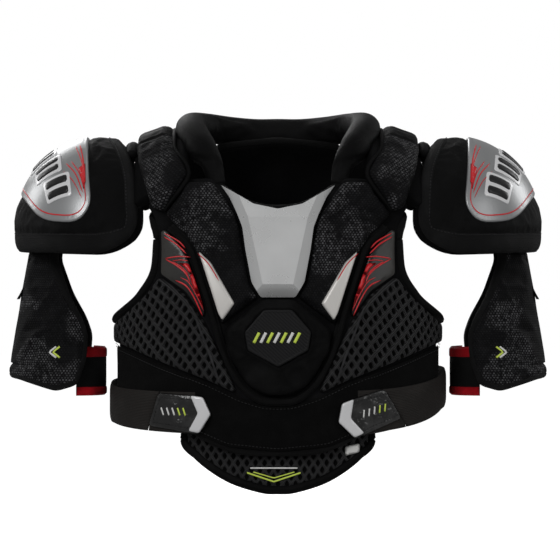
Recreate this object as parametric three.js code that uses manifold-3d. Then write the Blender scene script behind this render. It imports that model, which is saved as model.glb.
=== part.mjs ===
// Ice hockey shoulder pads in the position they are worn in: a quilted chest vest with a moulded sternum
// plate, a hinged back half, two domed shoulder caps, two bicep guards hung from the caps, two elastic
// waist straps with hook tabs, and a pull-out belly extension.
//
// Millimetres, +Z up. The wearer faces -Y and the wearer's left arm is on +X. The origin is on the
// mid-plane and on the line through both shoulder joints, where the shoulder arches bear on the wearer.
import * as THREE from "three";
import { mergeVertices } from "three/addons/utils/BufferGeometryUtils.js";
import Module from "manifold-3d";

const wasm = await Module();
wasm.setup();

// ---------------------------------------------------------------- driving dimensions

const TORSO = {
  fullness: 2.7, // exponent of the horizontal section: 2 is an ellipse, more is boxier
  chestHalfWidth: 158,
  shoulderHalfWidth: 190,
  frontDepth: 105, // at the collarbone, from the shoulder line forwards
  chestSwell: 11, // how much deeper the chest is at its fullest
  bellyTaper: 0.055, // how fast the front falls back below the chest
  backDepth: 94,
  bladeSwell: 10,
  loinTaper: 18,
  shoulderBaseZ: -60, // above this height the body rounds over towards the shoulder top
  shoulderRise: 72,
  slopeStart: 90, // outboard of this the shoulder drops away
  slope: 0.4,
};
const DRAWN_AT = 12; // distance from the body of the surface that the outlines are drawn on

const GAP = 0.4; // between layers that are sewn face to face
const LINER = 8; // thickness of the chest and back liners
const LAYER = LINER + GAP; // distance from the body of whatever is sewn on a liner
const FRONT_EDGE = -54; // y of the chest's side edges; the sides are open
const BACK_EDGE = 50;

const LOOP_TOP = LAYER + 1.6;
const MESH_TOP = 15;
const CHEST_PANEL_TOP = 18;
const STERNUM_PAD_TOP = 22;
const PLATE_TOP = 24;
const ARCH_TOP = 12.2;
const PAD_BASE = ARCH_TOP + GAP;
const PAD_TOP = 21;
const PIPING = 2.2;

const ARM = { x: 202, flareX: 0.09, radius: 36, flare: 0.085, atZ: -95 }; // a cone round the upper arm
const GUARD = { liner: 4, pad: 11 }; // distances from the arm
const CUFF = { thick: 2.2, topZ: -197, bottomZ: -245 };

const CAP = {
  x: 176, // centre of the dome
  z: -85,
  outward: 90, // radii of the dome's outer skin
  inward: 150,
  foreAft: 100,
  upward: 98,
  downward: 190,
  cover: 9, // thicknesses at the crown
  dome: 2.6,
  liner: 8,
  rimShare: 0.42, // how much of its thickness each layer keeps at the rim
};

const TAB_TILT = { left: 14, right: 0 }; // degrees, outer end up
const TAB_TIP = { left: [58, -268], right: [65, -260] };

// ---------------------------------------------------------------- outlines and prisms

const radians = THREE.MathUtils.degToRad;
const ramp = (from, to, value) => THREE.MathUtils.smoothstep((value - from) / (to - from), 0, 1);
const mirrored = (points) => points.map(([x, z]) => [-x, z]).reverse();

// A symmetric outline or edge, from its +X half listed from top to bottom.
const bothHalves = (half) => [...half, ...mirrored(half).filter(([x]) => x < 0)];

// A closed outline whose corners are rounded off over the given length.
function roundedShape(points, radius) {
  const shape = new THREE.Shape();
  points.forEach(([x, y], i) => {
    const corner = new THREE.Vector2(x, y);
    const cut = ([toX, toY]) => {
      const side = new THREE.Vector2(toX, toY).sub(corner);
      return side.setLength(Math.min(radius, side.length() * 0.45)).add(corner);
    };
    const start = cut(points.at(i - 1));
    const end = cut(points[(i + 1) % points.length]);
    if (i === 0) shape.moveTo(start.x, start.y);
    else shape.lineTo(start.x, start.y);
    shape.quadraticCurveTo(corner.x, corner.y, end.x, end.y);
  });
  return shape.closePath();
}

// Only positions, with shared vertices merged, which is what a closed solid needs.
function welded(geometry) {
  geometry.deleteAttribute("normal");
  geometry.deleteAttribute("uv");
  return mergeVertices(geometry, 1e-3);
}

function solid(geometry) {
  const closed = welded(geometry);
  const mesh = new wasm.Mesh({
    numProp: 3,
    vertProperties: closed.getAttribute("position").array,
    triVerts: new Uint32Array(closed.index.array),
  });
  return new wasm.Manifold(mesh);
}

function geometryOf(manifold) {
  const mesh = manifold.getMesh();
  return new THREE.BufferGeometry()
    .setAttribute("position", new THREE.BufferAttribute(mesh.vertProperties, 3))
    .setIndex(new THREE.BufferAttribute(mesh.triVerts, 1));
}

function prism(outline, radius, depth) {
  const options = { depth, bevelEnabled: false, curveSegments: 3 };
  return new THREE.ExtrudeGeometry(roundedShape(outline, radius), options);
}

// Everything behind an outline drawn in x and z, between two depths.
function seenFromFront(outline, radius = 4, fromY = -200, toY = 200) {
  return solid(prism(outline, radius, toY - fromY).rotateX(Math.PI / 2).translate(0, toY, 0));
}

// Everything beside an outline drawn in y and z, between two widths.
function seenFromSide(outline, radius = 4, fromX = 0, toX = 300) {
  const block = prism(outline, radius, toX - fromX).rotateX(Math.PI / 2).rotateZ(Math.PI / 2);
  return solid(block.translate(fromX, 0, 0));
}

// A slice of the shoulder between two angles up from the front, about the line where it rounds over.
function shoulderSlice(fromDegrees, toDegrees, fromX, toX) {
  const reach = 300;
  const rim = (degrees) => [
    -reach * Math.cos(radians(degrees)),
    TORSO.shoulderBaseZ + reach * Math.sin(radians(degrees)),
  ];
  const middle = (fromDegrees + toDegrees) / 2;
  const outline = [[0, TORSO.shoulderBaseZ], rim(toDegrees), rim(middle), rim(fromDegrees)];
  return seenFromSide(outline, 0.1, fromX, toX);
}

// A round cord, such as an edge binding, along a smooth curve through points.
function cordAlong(points, radius, steps, sides = 3) {
  const ring = new THREE.Shape().absarc(0, 0, radius, 0, 2 * Math.PI);
  const path = new THREE.CatmullRomCurve3(points.map((p) => new THREE.Vector3(...p)));
  const options = { steps, curveSegments: sides, extrudePath: path };
  return welded(new THREE.ExtrudeGeometry(ring, options));
}

// ---------------------------------------------------------------- grids turned into solids

// Closed rings of points, stacked from the bottom up, with the bottom ring capped round its middle.
// The top ring is either capped too or already folded flat.
function stacked(rings, capTop) {
  const triangle = [];
  const middle = (ring) =>
    ring.reduce((sum, p) => sum.add(p), new THREE.Vector3()).divideScalar(ring.length);
  const cap = (ring, up) =>
    ring.forEach((p, i) => {
      const q = ring[(i + 1) % ring.length];
      triangle.push(middle(ring), ...(up ? [p, q] : [q, p]));
    });
  rings.slice(1).forEach((upper, row) => {
    const lower = rings[row];
    lower.forEach((a, i) => {
      const next = (i + 1) % lower.length;
      const [b, c, d] = [lower[next], upper[next], upper[i]];
      // The diagonals of the second half of a ring mirror those of the first.
      triangle.push(...(2 * i < lower.length ? [a, b, c, a, c, d] : [a, b, d, b, c, d]));
    });
  });
  cap(rings[0], false);
  if (capTop) cap(rings.at(-1), true);
  const proper = [];
  for (let i = 0; i < triangle.length; i += 3) {
    const corners = triangle.slice(i, i + 3);
    const flat = corners.some((p, k) => p.distanceTo(corners[(k + 1) % 3]) < 1e-3);
    if (!flat) proper.push(...corners);
  }
  return solid(new THREE.BufferGeometry().setFromPoints(proper));
}

// Solids asked for at the same distance are made once.
function remembered(make) {
  const made = new Map();
  return (distance) => {
    if (!made.has(distance)) made.set(distance, make(distance));
    return made.get(distance);
  };
}

// ---------------------------------------------------------------- the body the pads sit on

const halfWidth = (z) =>
  THREE.MathUtils.lerp(TORSO.chestHalfWidth, TORSO.shoulderHalfWidth, ramp(-150, -40, z));
const frontDepth = (z) =>
  TORSO.frontDepth +
  TORSO.chestSwell * ramp(-60, -160, z) -
  TORSO.bellyTaper * Math.max(0, -180 - z);
const backDepth = (z) =>
  TORSO.backDepth + TORSO.bladeSwell * ramp(-60, -150, z) - TORSO.loinTaper * ramp(-170, -330, z);
const dropAt = (x) => TORSO.slope * Math.max(0, Math.abs(x) - TORSO.slopeStart);
const section = (share) => (1 - share ** TORSO.fullness) ** (1 / TORSO.fullness);

// A point of the body grown by a distance: at a signed share of its half width, on the front (face -1)
// or the back (face 1), at a height on its upright part and then at an angle round the shoulder top.
function bodyPoint(share, face, z, degrees, distance) {
  const angle = radians(degrees);
  const height = z + (TORSO.shoulderRise + distance) * Math.sin(angle);
  const drawn = z + (TORSO.shoulderRise + DRAWN_AT) * Math.sin(angle);
  const x = share * (halfWidth(drawn) + distance);
  const depth = (face < 0 ? frontDepth(drawn) : backDepth(drawn)) + distance;
  const y = face * depth * section(Math.abs(share)) * Math.cos(angle);
  const drawnX = share * (halfWidth(drawn) + DRAWN_AT);
  return new THREE.Vector3(x, y, height - dropAt(drawnX));
}

const SHARES = [0, 0.18, 0.36, 0.52, 0.66, 0.78, 0.87, 0.94, 0.985];
const RINGS = [
  ...[-350, -290, -235, -180, -150, -120, -90, -60].map((z) => [z, 0]),
  ...[18, 36, 54, 72, 90].map((degrees) => [TORSO.shoulderBaseZ, degrees]),
];
const body = remembered((distance) => {
  const quarter = (sign, face) => SHARES.map((share) => [sign * share, face]);
  const around = [
    ...quarter(1, -1),
    [1, 1],
    ...quarter(1, 1).reverse(),
    ...quarter(-1, 1).slice(1),
    [-1, 1],
    ...quarter(-1, -1).slice(1).reverse(),
  ];
  const ring = ([z, degrees]) =>
    around.map(([share, face]) => bodyPoint(share, face, z, degrees, distance));
  return stacked(RINGS.map(ring), false);
});

// What is cut from the layer between two distances from the body by a block.
const layerOf = (solidAt, inner, outer, ...blocks) =>
  geometryOf(blocks.reduce((rest, block) => rest.intersect(block), solidAt(outer).subtract(solidAt(inner))));
const chest = (outline, inner, outer, radius) =>
  layerOf(body, inner, outer, seenFromFront(outline, radius, -200, FRONT_EDGE));
const back = (outline, inner, outer, radius) =>
  layerOf(body, inner, outer, seenFromFront(outline, radius, BACK_EDGE, 200));

// The point of the body grown by a distance that is seen at x, z from the front.
function chestPoint(x, z, distance) {
  const lifted = z + dropAt(x);
  const above = Math.max(0, lifted - TORSO.shoulderBaseZ);
  const angle = Math.asin(Math.min(above / (TORSO.shoulderRise + distance), 1));
  const share = THREE.MathUtils.clamp(x / (halfWidth(lifted) + distance), -1, 1);
  return bodyPoint(share, -1, lifted - above, THREE.MathUtils.radToDeg(angle), distance).toArray();
}

const arm = remembered((distance) => {
  const ring = (z) => {
    const down = ARM.atZ - z;
    const radius = ARM.radius + ARM.flare * down + distance;
    return Array.from({ length: 28 }, (_, i) => {
      const angle = (2 * Math.PI * i) / 28;
      const x = ARM.x + ARM.flareX * down + radius * Math.cos(angle);
      return new THREE.Vector3(x, radius * Math.sin(angle), z);
    });
  };
  return stacked([-250, -205, -160, -115, -70].map(ring), true);
});

// ---------------------------------------------------------------- materials

const finish = (color, roughness, metalness = 0) =>
  new THREE.MeshStandardMaterial({ color, roughness, metalness });
const MATERIAL = {
  foam: finish(0x0d0d0e, 0.85),
  knit: finish(0x0a0a0b, 0.95),
  printed: finish(0x1c1c1e, 0.7),
  mesh: finish(0x191919, 0.9),
  loop: finish(0x070707, 1.0),
  elastic: finish(0x14110f, 0.8),
  gloss: finish(0x1a1a1c, 0.3),
  binding: finish(0x111112, 0.75),
  silver: finish(0xb9babc, 0.35, 0.3),
  pearl: finish(0xd9d6d2, 0.4),
  hard: finish(0x101012, 0.5),
  cuff: finish(0x101010, 0.85),
};

const pads = new THREE.Group();
function add(name, geometry, material, parent = pads) {
  const mesh = new THREE.Mesh(geometry, MATERIAL[material]);
  mesh.name = name;
  parent.add(mesh);
}

// ---------------------------------------------------------------- chest, on the mid-plane

const linerHalf = [
  [0, -59],
  [28, -54],
  [57, -36],
  [64, -29],
  [90, -30],
  [131, -54],
  [122, -66],
  [117, -92],
  [120, -124],
  [131, -142],
  [147, -157],
  [175, -182],
  [175, -249],
  [108, -271],
  [50, -296],
  [0, -301],
];
add("chest_liner", chest(bothHalves(linerHalf), 0, LINER, 8), "knit");

// The moulded plate is faceted: each facet is a plane through three of its points (+X side).
const plateHalf = [
  [0, -60],
  [24, -55],
  [56.5, -36],
  [48, -48],
  [40, -65],
  [35, -78],
  [32, -100],
  [26, -132],
  [17, -147],
];
const PLATE_FACETS = [
  [[20, -127.8, -68], [15, -136.6, -134], [-15, -136.6, -134]], // the badge facet
  [[24, -131.1, -93], [33, -124, -100], [15, -136.6, -134]], // bevels down both sides
  [[-24, -131.1, -93], [-15, -136.6, -134], [-33, -124, -100]],
  [[20, -127.8, -68], [-20, -127.8, -68], [0, -119, -38]], // across the wings
  [[15, -136.6, -134], [0, -127, -147], [-15, -136.6, -134]], // along the lower end
];
function sternumPlate() {
  const block = body(PLATE_TOP)
    .subtract(body(LAYER))
    .intersect(seenFromFront(bothHalves(plateHalf), 2, -200, FRONT_EDGE));
  const cut = PLATE_FACETS.reduce((rest, corners) => {
    const plane = new THREE.Plane().setFromCoplanarPoints(
      ...corners.map((p) => new THREE.Vector3(...p)),
    );
    if (plane.normal.y < 0) plane.negate();
    return rest.trimByPlane(plane.normal.toArray(), -plane.constant);
  }, block);
  return geometryOf(cut);
}
add("sternum_plate", sternumPlate(), "silver");

const sternumPadHalf = [
  [0, -148.5],
  [17, -148.5],
  [53, -178],
  [50, -202],
  [29, -234],
  [13, -243],
  [0, -244],
];
add("sternum_pad", chest(bothHalves(sternumPadHalf), LAYER, STERNUM_PAD_TOP, 7), "foam");

const crestHalf = [
  [0, -159],
  [14, -159],
  [33, -181],
  [30, -199],
  [0, -215.5],
];
const crest = chest(bothHalves(crestHalf), STERNUM_PAD_TOP + GAP, STERNUM_PAD_TOP + 3, 2);
add("sternum_crest", crest, "hard");

const loopHalf = [
  [0, -254],
  [14, -253.5],
  [38, -246],
  [67, -232],
  [112, -215],
  [150, -199],
  [175, -190],
  [175, -246],
  [108, -269],
  [50, -294],
  [0, -299],
];
add("loop_panel", chest(bothHalves(loopHalf), LAYER, LOOP_TOP, 4), "loop");

// Piping round the shield-shaped front section, from one armhole to the other.
const shieldEdgeHalf = [
  [0, -249.5],
  [20, -246.5],
  [41, -227],
  [56, -196],
  [66, -160],
  [74.5, -134],
  [86, -101],
  [95, -89],
  [108, -78],
];
function edgeCord(half, distance, radius, steps) {
  const edge = [...mirrored(half).filter(([x]) => x < 0), ...half];
  return cordAlong(edge.map(([x, z]) => chestPoint(x, z, distance)), radius, steps);
}
add("shield_piping", edgeCord(shieldEdgeHalf, LAYER + 5, PIPING, 36), "binding");

// ---------------------------------------------------------------- belly extension

const EXTENSION = { inner: -10, outer: -1.5, binding: 4 };
const extensionHalf = [
  [0, -258],
  [70, -258],
  [82, -280],
  [90, -290],
  [74, -308],
  [46, -325],
  [16, -334],
  [0, -335.5],
];
const extension = chest(bothHalves(extensionHalf), EXTENSION.inner, EXTENSION.outer, 4);
add("extension_pad", extension, "mesh");
const extensionEdgeHalf = [
  [0, -340.2],
  [17, -338.9],
  [48, -329.6],
  [77.5, -311.5],
  [95, -292],
];
add("extension_binding", edgeCord(extensionEdgeHalf, -5.6, EXTENSION.binding, 22), "binding");

// ---------------------------------------------------------------- back half, on the mid-plane

const backLinerHalf = [
  [0, 4],
  [56, -2],
  [92, -12],
  [98, -38],
  [134, -62],
  [124, -74],
  [119, -96],
  [122, -122],
  [140, -148],
  [175, -182],
  [175, -240],
  [128, -264],
  [60, -286],
  [0, -292],
];
add("back_liner", back(bothHalves(backLinerHalf), 0, LINER, 8), "knit");

const spineHalf = [
  [0, -18],
  [20, -18],
  [33, -60],
  [28, -130],
  [36, -192],
  [24, -236],
  [0, -242],
];
add("spine_plate", back(bothHalves(spineHalf), LAYER, LAYER + 5, 8), "hard");

// ---------------------------------------------------------------- pieces made once per side

const chestPanel = [
  [60, -39],
  [66, -32],
  [89, -32],
  [113, -66],
  [103, -77],
  [91, -88],
  [82, -101],
  [70, -134],
  [62, -160],
  [57, -174],
  [20.5, -147],
  [29.5, -132],
  [35.5, -100],
  [38.5, -78],
  [43.5, -65],
];
const accent = [
  [79, -101],
  [66.5, -112.5],
  [42.5, -153],
  [55, -170],
  [59, -163],
  [67, -138],
];
const graphicPanel = [
  [111, -80],
  [116, -80],
  [115.5, -100],
  [116, -124],
  [92, -141],
  [82, -155],
  [73, -168],
  [71.5, -161],
  [79, -136],
  [90.5, -104],
  [99, -92],
];
const meshPanel = [
  [118, -127],
  [130, -143],
  [146, -158],
  [175, -184],
  [175, -188],
  [150, -197],
  [112, -213],
  [67, -230],
  [41, -242],
  [47, -226],
  [61, -196],
  [73, -172],
  [84, -157],
  [94, -143],
];
const armholeEdge = [
  [128, -66],
  [122, -80],
  [121.5, -94],
  [124.5, -120],
  [136, -137.5],
  [148, -148],
  [161, -159],
];
const claviclePad = [
  [104, 60],
  [137, 60],
  [137, -20],
  [125, -60],
  [114, -64],
  [88.5, -26],
  [103, 0],
];
const shoulderSeam = [
  [102, -35],
  [139.5, -57],
  [139.5, 80],
  [102, 80],
];
const collarPath = [
  [66, -88, -14],
  [75, -74, 0],
  [84, -46, 15],
  [87, -14, 23],
  [84, 16, 27],
  [71, 42, 27],
  [48, 59, 24],
  [24, 66.7, 22],
  [0.5, 67, 22],
];
const COLLAR_RADIUS = 14.5;

const bladePad = [
  [44, -20],
  [86, -22],
  [95, -42],
  [126, -66],
  [119, -78],
  [114, -96],
  [117, -120],
  [104, -138],
  [60, -150],
  [39, -130],
  [42, -62],
];
const backMesh = [
  [45, -156],
  [104, -144],
  [121, -130],
  [138, -151],
  [146, -172],
  [137, -206],
  [122, -254],
  [70, -276],
  [38, -250],
  [45, -194],
];

// The hook tab in its own plane: how far along from its tip, and how far up.
const tabOutline = [
  [0, -2],
  [8, 16],
  [52, 19],
  [62, -14],
  [12, -22],
];
const chevronOutline = [
  [0.8, -2],
  [8.6, 15],
  [21, 16.6],
  [13.5, -1],
  [23, -18.6],
  [12.4, -20.6],
];
const TAB_BASE = LOOP_TOP + GAP;
const TAB_TOP = TAB_BASE + 3.4;
function atTabTip(points, side) {
  const turn = radians(TAB_TILT[side]);
  const [tipX, tipZ] = TAB_TIP[side];
  return points.map(([along, up]) => [
    tipX + along * Math.cos(turn) - up * Math.sin(turn),
    tipZ + along * Math.sin(turn) + up * Math.cos(turn),
  ]);
}

// Elastic strap round the waist, drawn in y and z.
const waistStrap = {
  left: [
    [-96, -235],
    [-50, -224],
    [0, -219],
    [74, -216],
    [74, -250],
    [0, -253],
    [-50, -259],
    [-96, -269],
  ],
  right: [
    [-96, -239],
    [-50, -236],
    [0, -233],
    [74, -228],
    [74, -264],
    [0, -270],
    [-50, -273],
    [-96, -276],
  ],
};
const STRAP = { base: LOOP_TOP + 0.6, top: LOOP_TOP + 2.8 };

// Shoulder cap: nested domes, open below and inboard, all trimmed to one outline seen from the front.
const capOutline = [
  [155, 16],
  [300, 16],
  [300, -100],
  [172, -103],
  [140, -84],
  [140, -22],
];
const badgeOutline = [
  [193, 40],
  [187, -30],
  [184, -56],
  [198, -74],
  [236, -71],
  [262, -40],
  [300, -40],
  [300, 40],
];
// The dome's skin moved in by a thickness, which fades towards the rim, and by a number of gaps.
function domeSkin(thickness, gaps) {
  const ball = new THREE.SphereGeometry(1, 24, 12).rotateX(Math.PI / 2);
  const position = ball.getAttribute("position");
  for (let i = 0; i < position.count; i++) {
    const [x, y, z] = [position.getX(i), position.getY(i), position.getZ(i)];
    const inset = thickness * THREE.MathUtils.lerp(CAP.rimShare, 1, ramp(0.05, 0.7, z)) + gaps * GAP;
    position.setXYZ(
      i,
      CAP.x + x * (x > 0 ? CAP.outward - inset : CAP.inward),
      y * (CAP.foreAft - inset),
      CAP.z + z * (z > 0 ? CAP.upward - inset : CAP.downward),
    );
  }
  return solid(ball);
}
function capLayer(outer, inner, outline, radius) {
  const shell = domeSkin(...outer).subtract(domeSkin(...inner));
  return geometryOf(shell.intersect(seenFromFront(outline, radius)));
}

// Bicep guard, seen from the front; its front and back halves are alike.
const guardOutline = [
  [222, -95],
  [225, -109],
  [210, -143],
  [195, -168],
  [189, -185],
  [191, -210],
  [200, -235],
  [223, -241],
  [266, -229],
  [290, -229],
  [290, -95],
];
const guardLinerOutline = guardOutline.map(([x, z]) => [x + (x < 240 ? 3 : 0), z + (z < -200 ? 3 : 0)]);
const armTabOutline = [
  [192, -198],
  [222, -197],
  [226, -214],
  [222, -231],
  [192, -232],
];
const hangerOutline = [
  [-13, -82],
  [13, -82],
  [14, -146],
  [-14, -146],
];
// The elastic cuff closes the guard behind the arm: [degrees from the outermost line, radius].
const cuffStations = [
  [116, 60.5],
  [123, 56],
  [131, 50],
  [143, 44],
  [160, 40.5],
  [180, 39.4],
  [200, 40.5],
  [219, 45],
  [233, 50],
];
const CUFF_X = ARM.x + ARM.flareX * (ARM.atZ - CUFF.bottomZ);
function armCuff() {
  const at = (degrees, radius) => [
    CUFF_X + radius * Math.cos(radians(degrees)),
    radius * Math.sin(radians(degrees)),
  ];
  const inner = cuffStations.map(([degrees, radius]) => at(degrees, radius));
  const outer = cuffStations.map(([degrees, radius]) => at(degrees, radius + CUFF.thick));
  const ribbon = new THREE.Shape(
    [...outer, ...inner.reverse()].map(([x, y]) => new THREE.Vector2(x, y)),
  );
  const options = { depth: CUFF.topZ - CUFF.bottomZ, bevelEnabled: false };
  return welded(new THREE.ExtrudeGeometry(ribbon, options).translate(0, 0, CUFF.bottomZ));
}

for (const side of ["left", "right"]) {
  const half = new THREE.Group();
  half.scale.x = side === "left" ? 1 : -1;
  pads.add(half);
  const put = (name, geometry, material) => add(`${name}_${side}`, geometry, material, half);

  put("chest_panel", chest(chestPanel, LAYER, CHEST_PANEL_TOP, 3), "printed");
  put("accent", chest(accent, CHEST_PANEL_TOP + GAP, CHEST_PANEL_TOP + 2.6, 1.5), "pearl");
  put("graphic_panel", chest(graphicPanel, LAYER, LAYER + 2.5, 2), "gloss");
  put("mesh_panel", chest(meshPanel, LAYER, MESH_TOP, 3), "mesh");
  const armhole = armholeEdge.map(([x, z]) => chestPoint(x, z, 4));
  put("armhole_binding", cordAlong(armhole, 3.4, 12), "binding");

  const clavicle = [seenFromFront(claviclePad, 5), shoulderSlice(-20, 62, 80, 138)];
  put("clavicle_pad", layerOf(body, PAD_BASE, PAD_TOP, ...clavicle), "printed");
  put("shoulder_arch", layerOf(body, 0, ARCH_TOP, seenFromFront(shoulderSeam, 3)), "foam");
  const top = shoulderSlice(64, 146, 103, 138.5);
  put("shoulder_top_pad", layerOf(body, PAD_BASE, PAD_TOP + 1, top), "foam");
  const bridge = shoulderSlice(70, 110, 140, 147.5);
  put("cap_bridge", layerOf(body, PAD_BASE, PAD_TOP, bridge), "foam");
  put("collar", cordAlong(collarPath, COLLAR_RADIUS, 16, 5), "foam");

  put("blade_pad", back(bladePad, LAYER, 18, 5), "printed");
  put("back_mesh", back(backMesh, LAYER, 13.5, 4), "mesh");
  put(
    "waist_strap",
    layerOf(body, STRAP.base, STRAP.top, seenFromSide(waistStrap[side], 1)),
    "elastic",
  );
  put("waist_tab", chest(atTabTip(tabOutline, side), TAB_BASE, TAB_TOP, 2), "gloss");
  const chevron = atTabTip(chevronOutline, side);
  put("tab_chevron", chest(chevron, TAB_TOP + GAP, TAB_TOP + 1.8, 1), "silver");

  const { cover, dome, liner } = CAP;
  const total = cover + dome + liner;
  put("cap_cover", capLayer([0, 0], [cover, 0], capOutline, 16), "foam");
  put("cap_dome", capLayer([cover, 1], [cover + dome, 1], capOutline, 16), "hard");
  put("cap_liner", capLayer([cover + dome, 2], [total, 2], capOutline, 16), "knit");
  put("cap_badge", capLayer([-4, 0], [-GAP * 2, 0], badgeOutline, 14), "silver");

  const hanger = seenFromSide(hangerOutline, 2, ARM.x);
  put("hanger_strap", layerOf(arm, GUARD.pad + 0.6, GUARD.pad + 2.4, hanger), "elastic");
  const guardLiner = seenFromFront(guardLinerOutline, 6);
  put("bicep_liner", layerOf(arm, 0, GUARD.liner, guardLiner), "knit");
  const guard = seenFromFront(guardOutline, 6);
  put("bicep_pad", layerOf(arm, GUARD.liner + GAP, GUARD.pad, guard), "printed");
  put("arm_cuff", armCuff(), "cuff");
  const tab = seenFromFront(armTabOutline, 4, 0);
  put("arm_tab", layerOf(arm, GUARD.pad + GAP, GUARD.pad + 3, tab), "cuff");
}

export default pads;
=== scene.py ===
import math

import bpy
import numpy as np
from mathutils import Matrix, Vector
from mathutils.geometry import delaunay_2d_cdt


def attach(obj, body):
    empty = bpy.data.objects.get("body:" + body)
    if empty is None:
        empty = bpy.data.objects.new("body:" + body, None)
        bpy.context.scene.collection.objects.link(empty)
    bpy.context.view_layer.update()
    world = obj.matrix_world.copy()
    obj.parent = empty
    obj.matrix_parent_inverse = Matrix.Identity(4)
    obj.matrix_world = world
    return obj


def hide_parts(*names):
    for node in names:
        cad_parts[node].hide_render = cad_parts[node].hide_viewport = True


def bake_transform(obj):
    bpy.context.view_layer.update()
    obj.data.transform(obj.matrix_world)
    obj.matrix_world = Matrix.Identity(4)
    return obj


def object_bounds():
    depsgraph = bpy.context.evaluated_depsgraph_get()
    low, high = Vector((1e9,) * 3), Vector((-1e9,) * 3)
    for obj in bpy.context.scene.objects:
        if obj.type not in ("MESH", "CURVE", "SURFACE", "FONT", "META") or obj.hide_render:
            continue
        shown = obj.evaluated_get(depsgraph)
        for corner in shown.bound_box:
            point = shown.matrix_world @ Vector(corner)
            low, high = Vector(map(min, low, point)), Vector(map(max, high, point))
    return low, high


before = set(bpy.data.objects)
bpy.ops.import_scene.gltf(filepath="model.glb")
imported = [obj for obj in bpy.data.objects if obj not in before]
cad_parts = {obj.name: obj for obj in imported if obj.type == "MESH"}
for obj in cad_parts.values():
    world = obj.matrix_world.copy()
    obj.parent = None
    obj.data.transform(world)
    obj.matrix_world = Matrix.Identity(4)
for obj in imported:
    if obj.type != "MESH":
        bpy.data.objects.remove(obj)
cad_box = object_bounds()

# Lengths below are millimetres in the part's frame (+Z up, the wearer faces -Y); meshes are scaled to
# metres as they are made.

# ------------------------------------------------------------------ the body the pads sit on

FULL = 2.7
BASE_Z = -60.0
RISE = 72.0
DRAWN = 12.0
WRAP = 95.0  # length along the body for one radian over the shoulder
TOP_V = BASE_Z + WRAP * math.pi / 2


def ramp(a, b, x):
    t = np.clip((np.asarray(x, float) - a) / (b - a), 0, 1)
    return t * t * (3 - 2 * t)


def half_width(z):
    return 158 + 32 * ramp(-150, -40, z)


def front_depth(z):
    return 105 + 11 * ramp(-60, -160, z) - 0.055 * np.maximum(0, -180 - z)


def back_depth(z):
    return 94 + 10 * ramp(-60, -150, z) - 18 * ramp(-170, -330, z)


def drop(x):
    return 0.4 * np.maximum(0, np.abs(x) - 90)


def section(s):
    return np.clip(1 - np.abs(s) ** FULL, 0, 1) ** (1 / FULL)


_t = np.linspace(0, math.pi / 2, 1500)
_s = np.sin(_t) ** (2 / FULL)
_arc = np.concatenate([[0], np.cumsum(np.hypot(np.diff(170 * _s), np.diff(124 * np.cos(_t) ** (2 / FULL))))])
SIDE_U = _arc[-1]  # length round the body from the breastbone to the side


def share_of(u):
    return np.sign(u) * np.interp(np.abs(u), _arc, _s)


def u_of(share):
    return np.sign(share) * np.interp(np.abs(share), _s, _arc)


def form(u, v, d):
    """The body grown by d: u runs out from the mid-plane, v up the chest, over the shoulder and down the back."""
    u, v, d = np.broadcast_arrays(np.asarray(u, float), np.asarray(v, float), np.asarray(d, float))
    far = BASE_Z + WRAP * math.pi
    angle = np.clip((v - BASE_Z) / WRAP, 0, math.pi)
    below = np.minimum(0, v - BASE_Z) + np.minimum(0, far - v)
    lifted = BASE_Z + below + (RISE + DRAWN) * np.sin(angle)
    share = share_of(u)
    depth = np.where(np.cos(angle) > 0, front_depth(lifted), back_depth(lifted)) + d
    x = share * (half_width(lifted) + d)
    y = -depth * section(share) * np.cos(angle)
    z = BASE_Z + below + (RISE + d) * np.sin(angle) - drop(share * (half_width(lifted) + DRAWN))
    return np.stack([x, y, z], -1)


def around(w, z, d):
    """The body grown by d below the armholes: w runs from the breastbone round the side to the spine."""
    w, z, d = np.broadcast_arrays(np.asarray(w, float), np.asarray(z, float), np.asarray(d, float))
    front = np.abs(w) <= SIDE_U
    share = share_of(np.where(front, w, np.sign(w) * (2 * SIDE_U - np.abs(w))))
    lifted = z + drop(share * 170)
    depth = np.where(front, front_depth(lifted), back_depth(lifted)) + d
    y = np.where(front, -1, 1) * depth * section(share)
    return np.stack([share * (half_width(lifted) + d), y, z], -1)


def on_chest(points, d=DRAWN):
    """An outline drawn from the front on the body grown by d, as u and v."""
    p = np.asarray(points, float)
    lifted = p[:, 1] + drop(p[:, 0])
    above = np.maximum(0, lifted - BASE_Z)
    v = np.where(above > 0, BASE_Z + WRAP * np.arcsin(np.clip(above / (RISE + d), 0, 1)), lifted)
    return np.stack([u_of(np.clip(p[:, 0] / (half_width(lifted) + d), -1, 1)), v], -1)


def on_back(points, d=DRAWN):
    uv = on_chest(points, d)
    uv[:, 1] = 2 * TOP_V - uv[:, 1]
    return uv[::-1]


# ------------------------------------------------------------------ arm and cap surfaces

ARM_R = 50.0  # length round the arm for one radian
ARM_TOP = -95


def arm_at(z, d):
    """The arm's middle and radius at a height, grown by d: it leans out and widens downwards."""
    down = ARM_TOP - z
    return 202 + 0.09 * down, 36 + 0.085 * down + d


def arm(u, z, d):
    """A cone round the upper arm grown by d: u runs round it from its outermost line."""
    middle, r = arm_at(z, d)
    a = u / ARM_R
    return np.stack([middle + r * np.cos(a), r * np.sin(a), z + 0 * a], -1)


CAP_MM = 95.0  # length on the dome for one radian from its top
CAP_X, CAP_Z = 176, -85  # the dome's middle
CAP_OUT, CAP_IN, CAP_UP, CAP_DOWN, CAP_DEEP = 90, 150, 98, 190, 100  # its radii


def cap_share(p):
    """Points seen from the front as shares of the dome's radii."""
    x = (p[:, 0] - CAP_X) / np.where(p[:, 0] > CAP_X, CAP_OUT, CAP_IN)
    return x, (p[:, 1] - CAP_Z) / np.where(p[:, 1] > CAP_Z, CAP_UP, CAP_DOWN)


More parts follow.
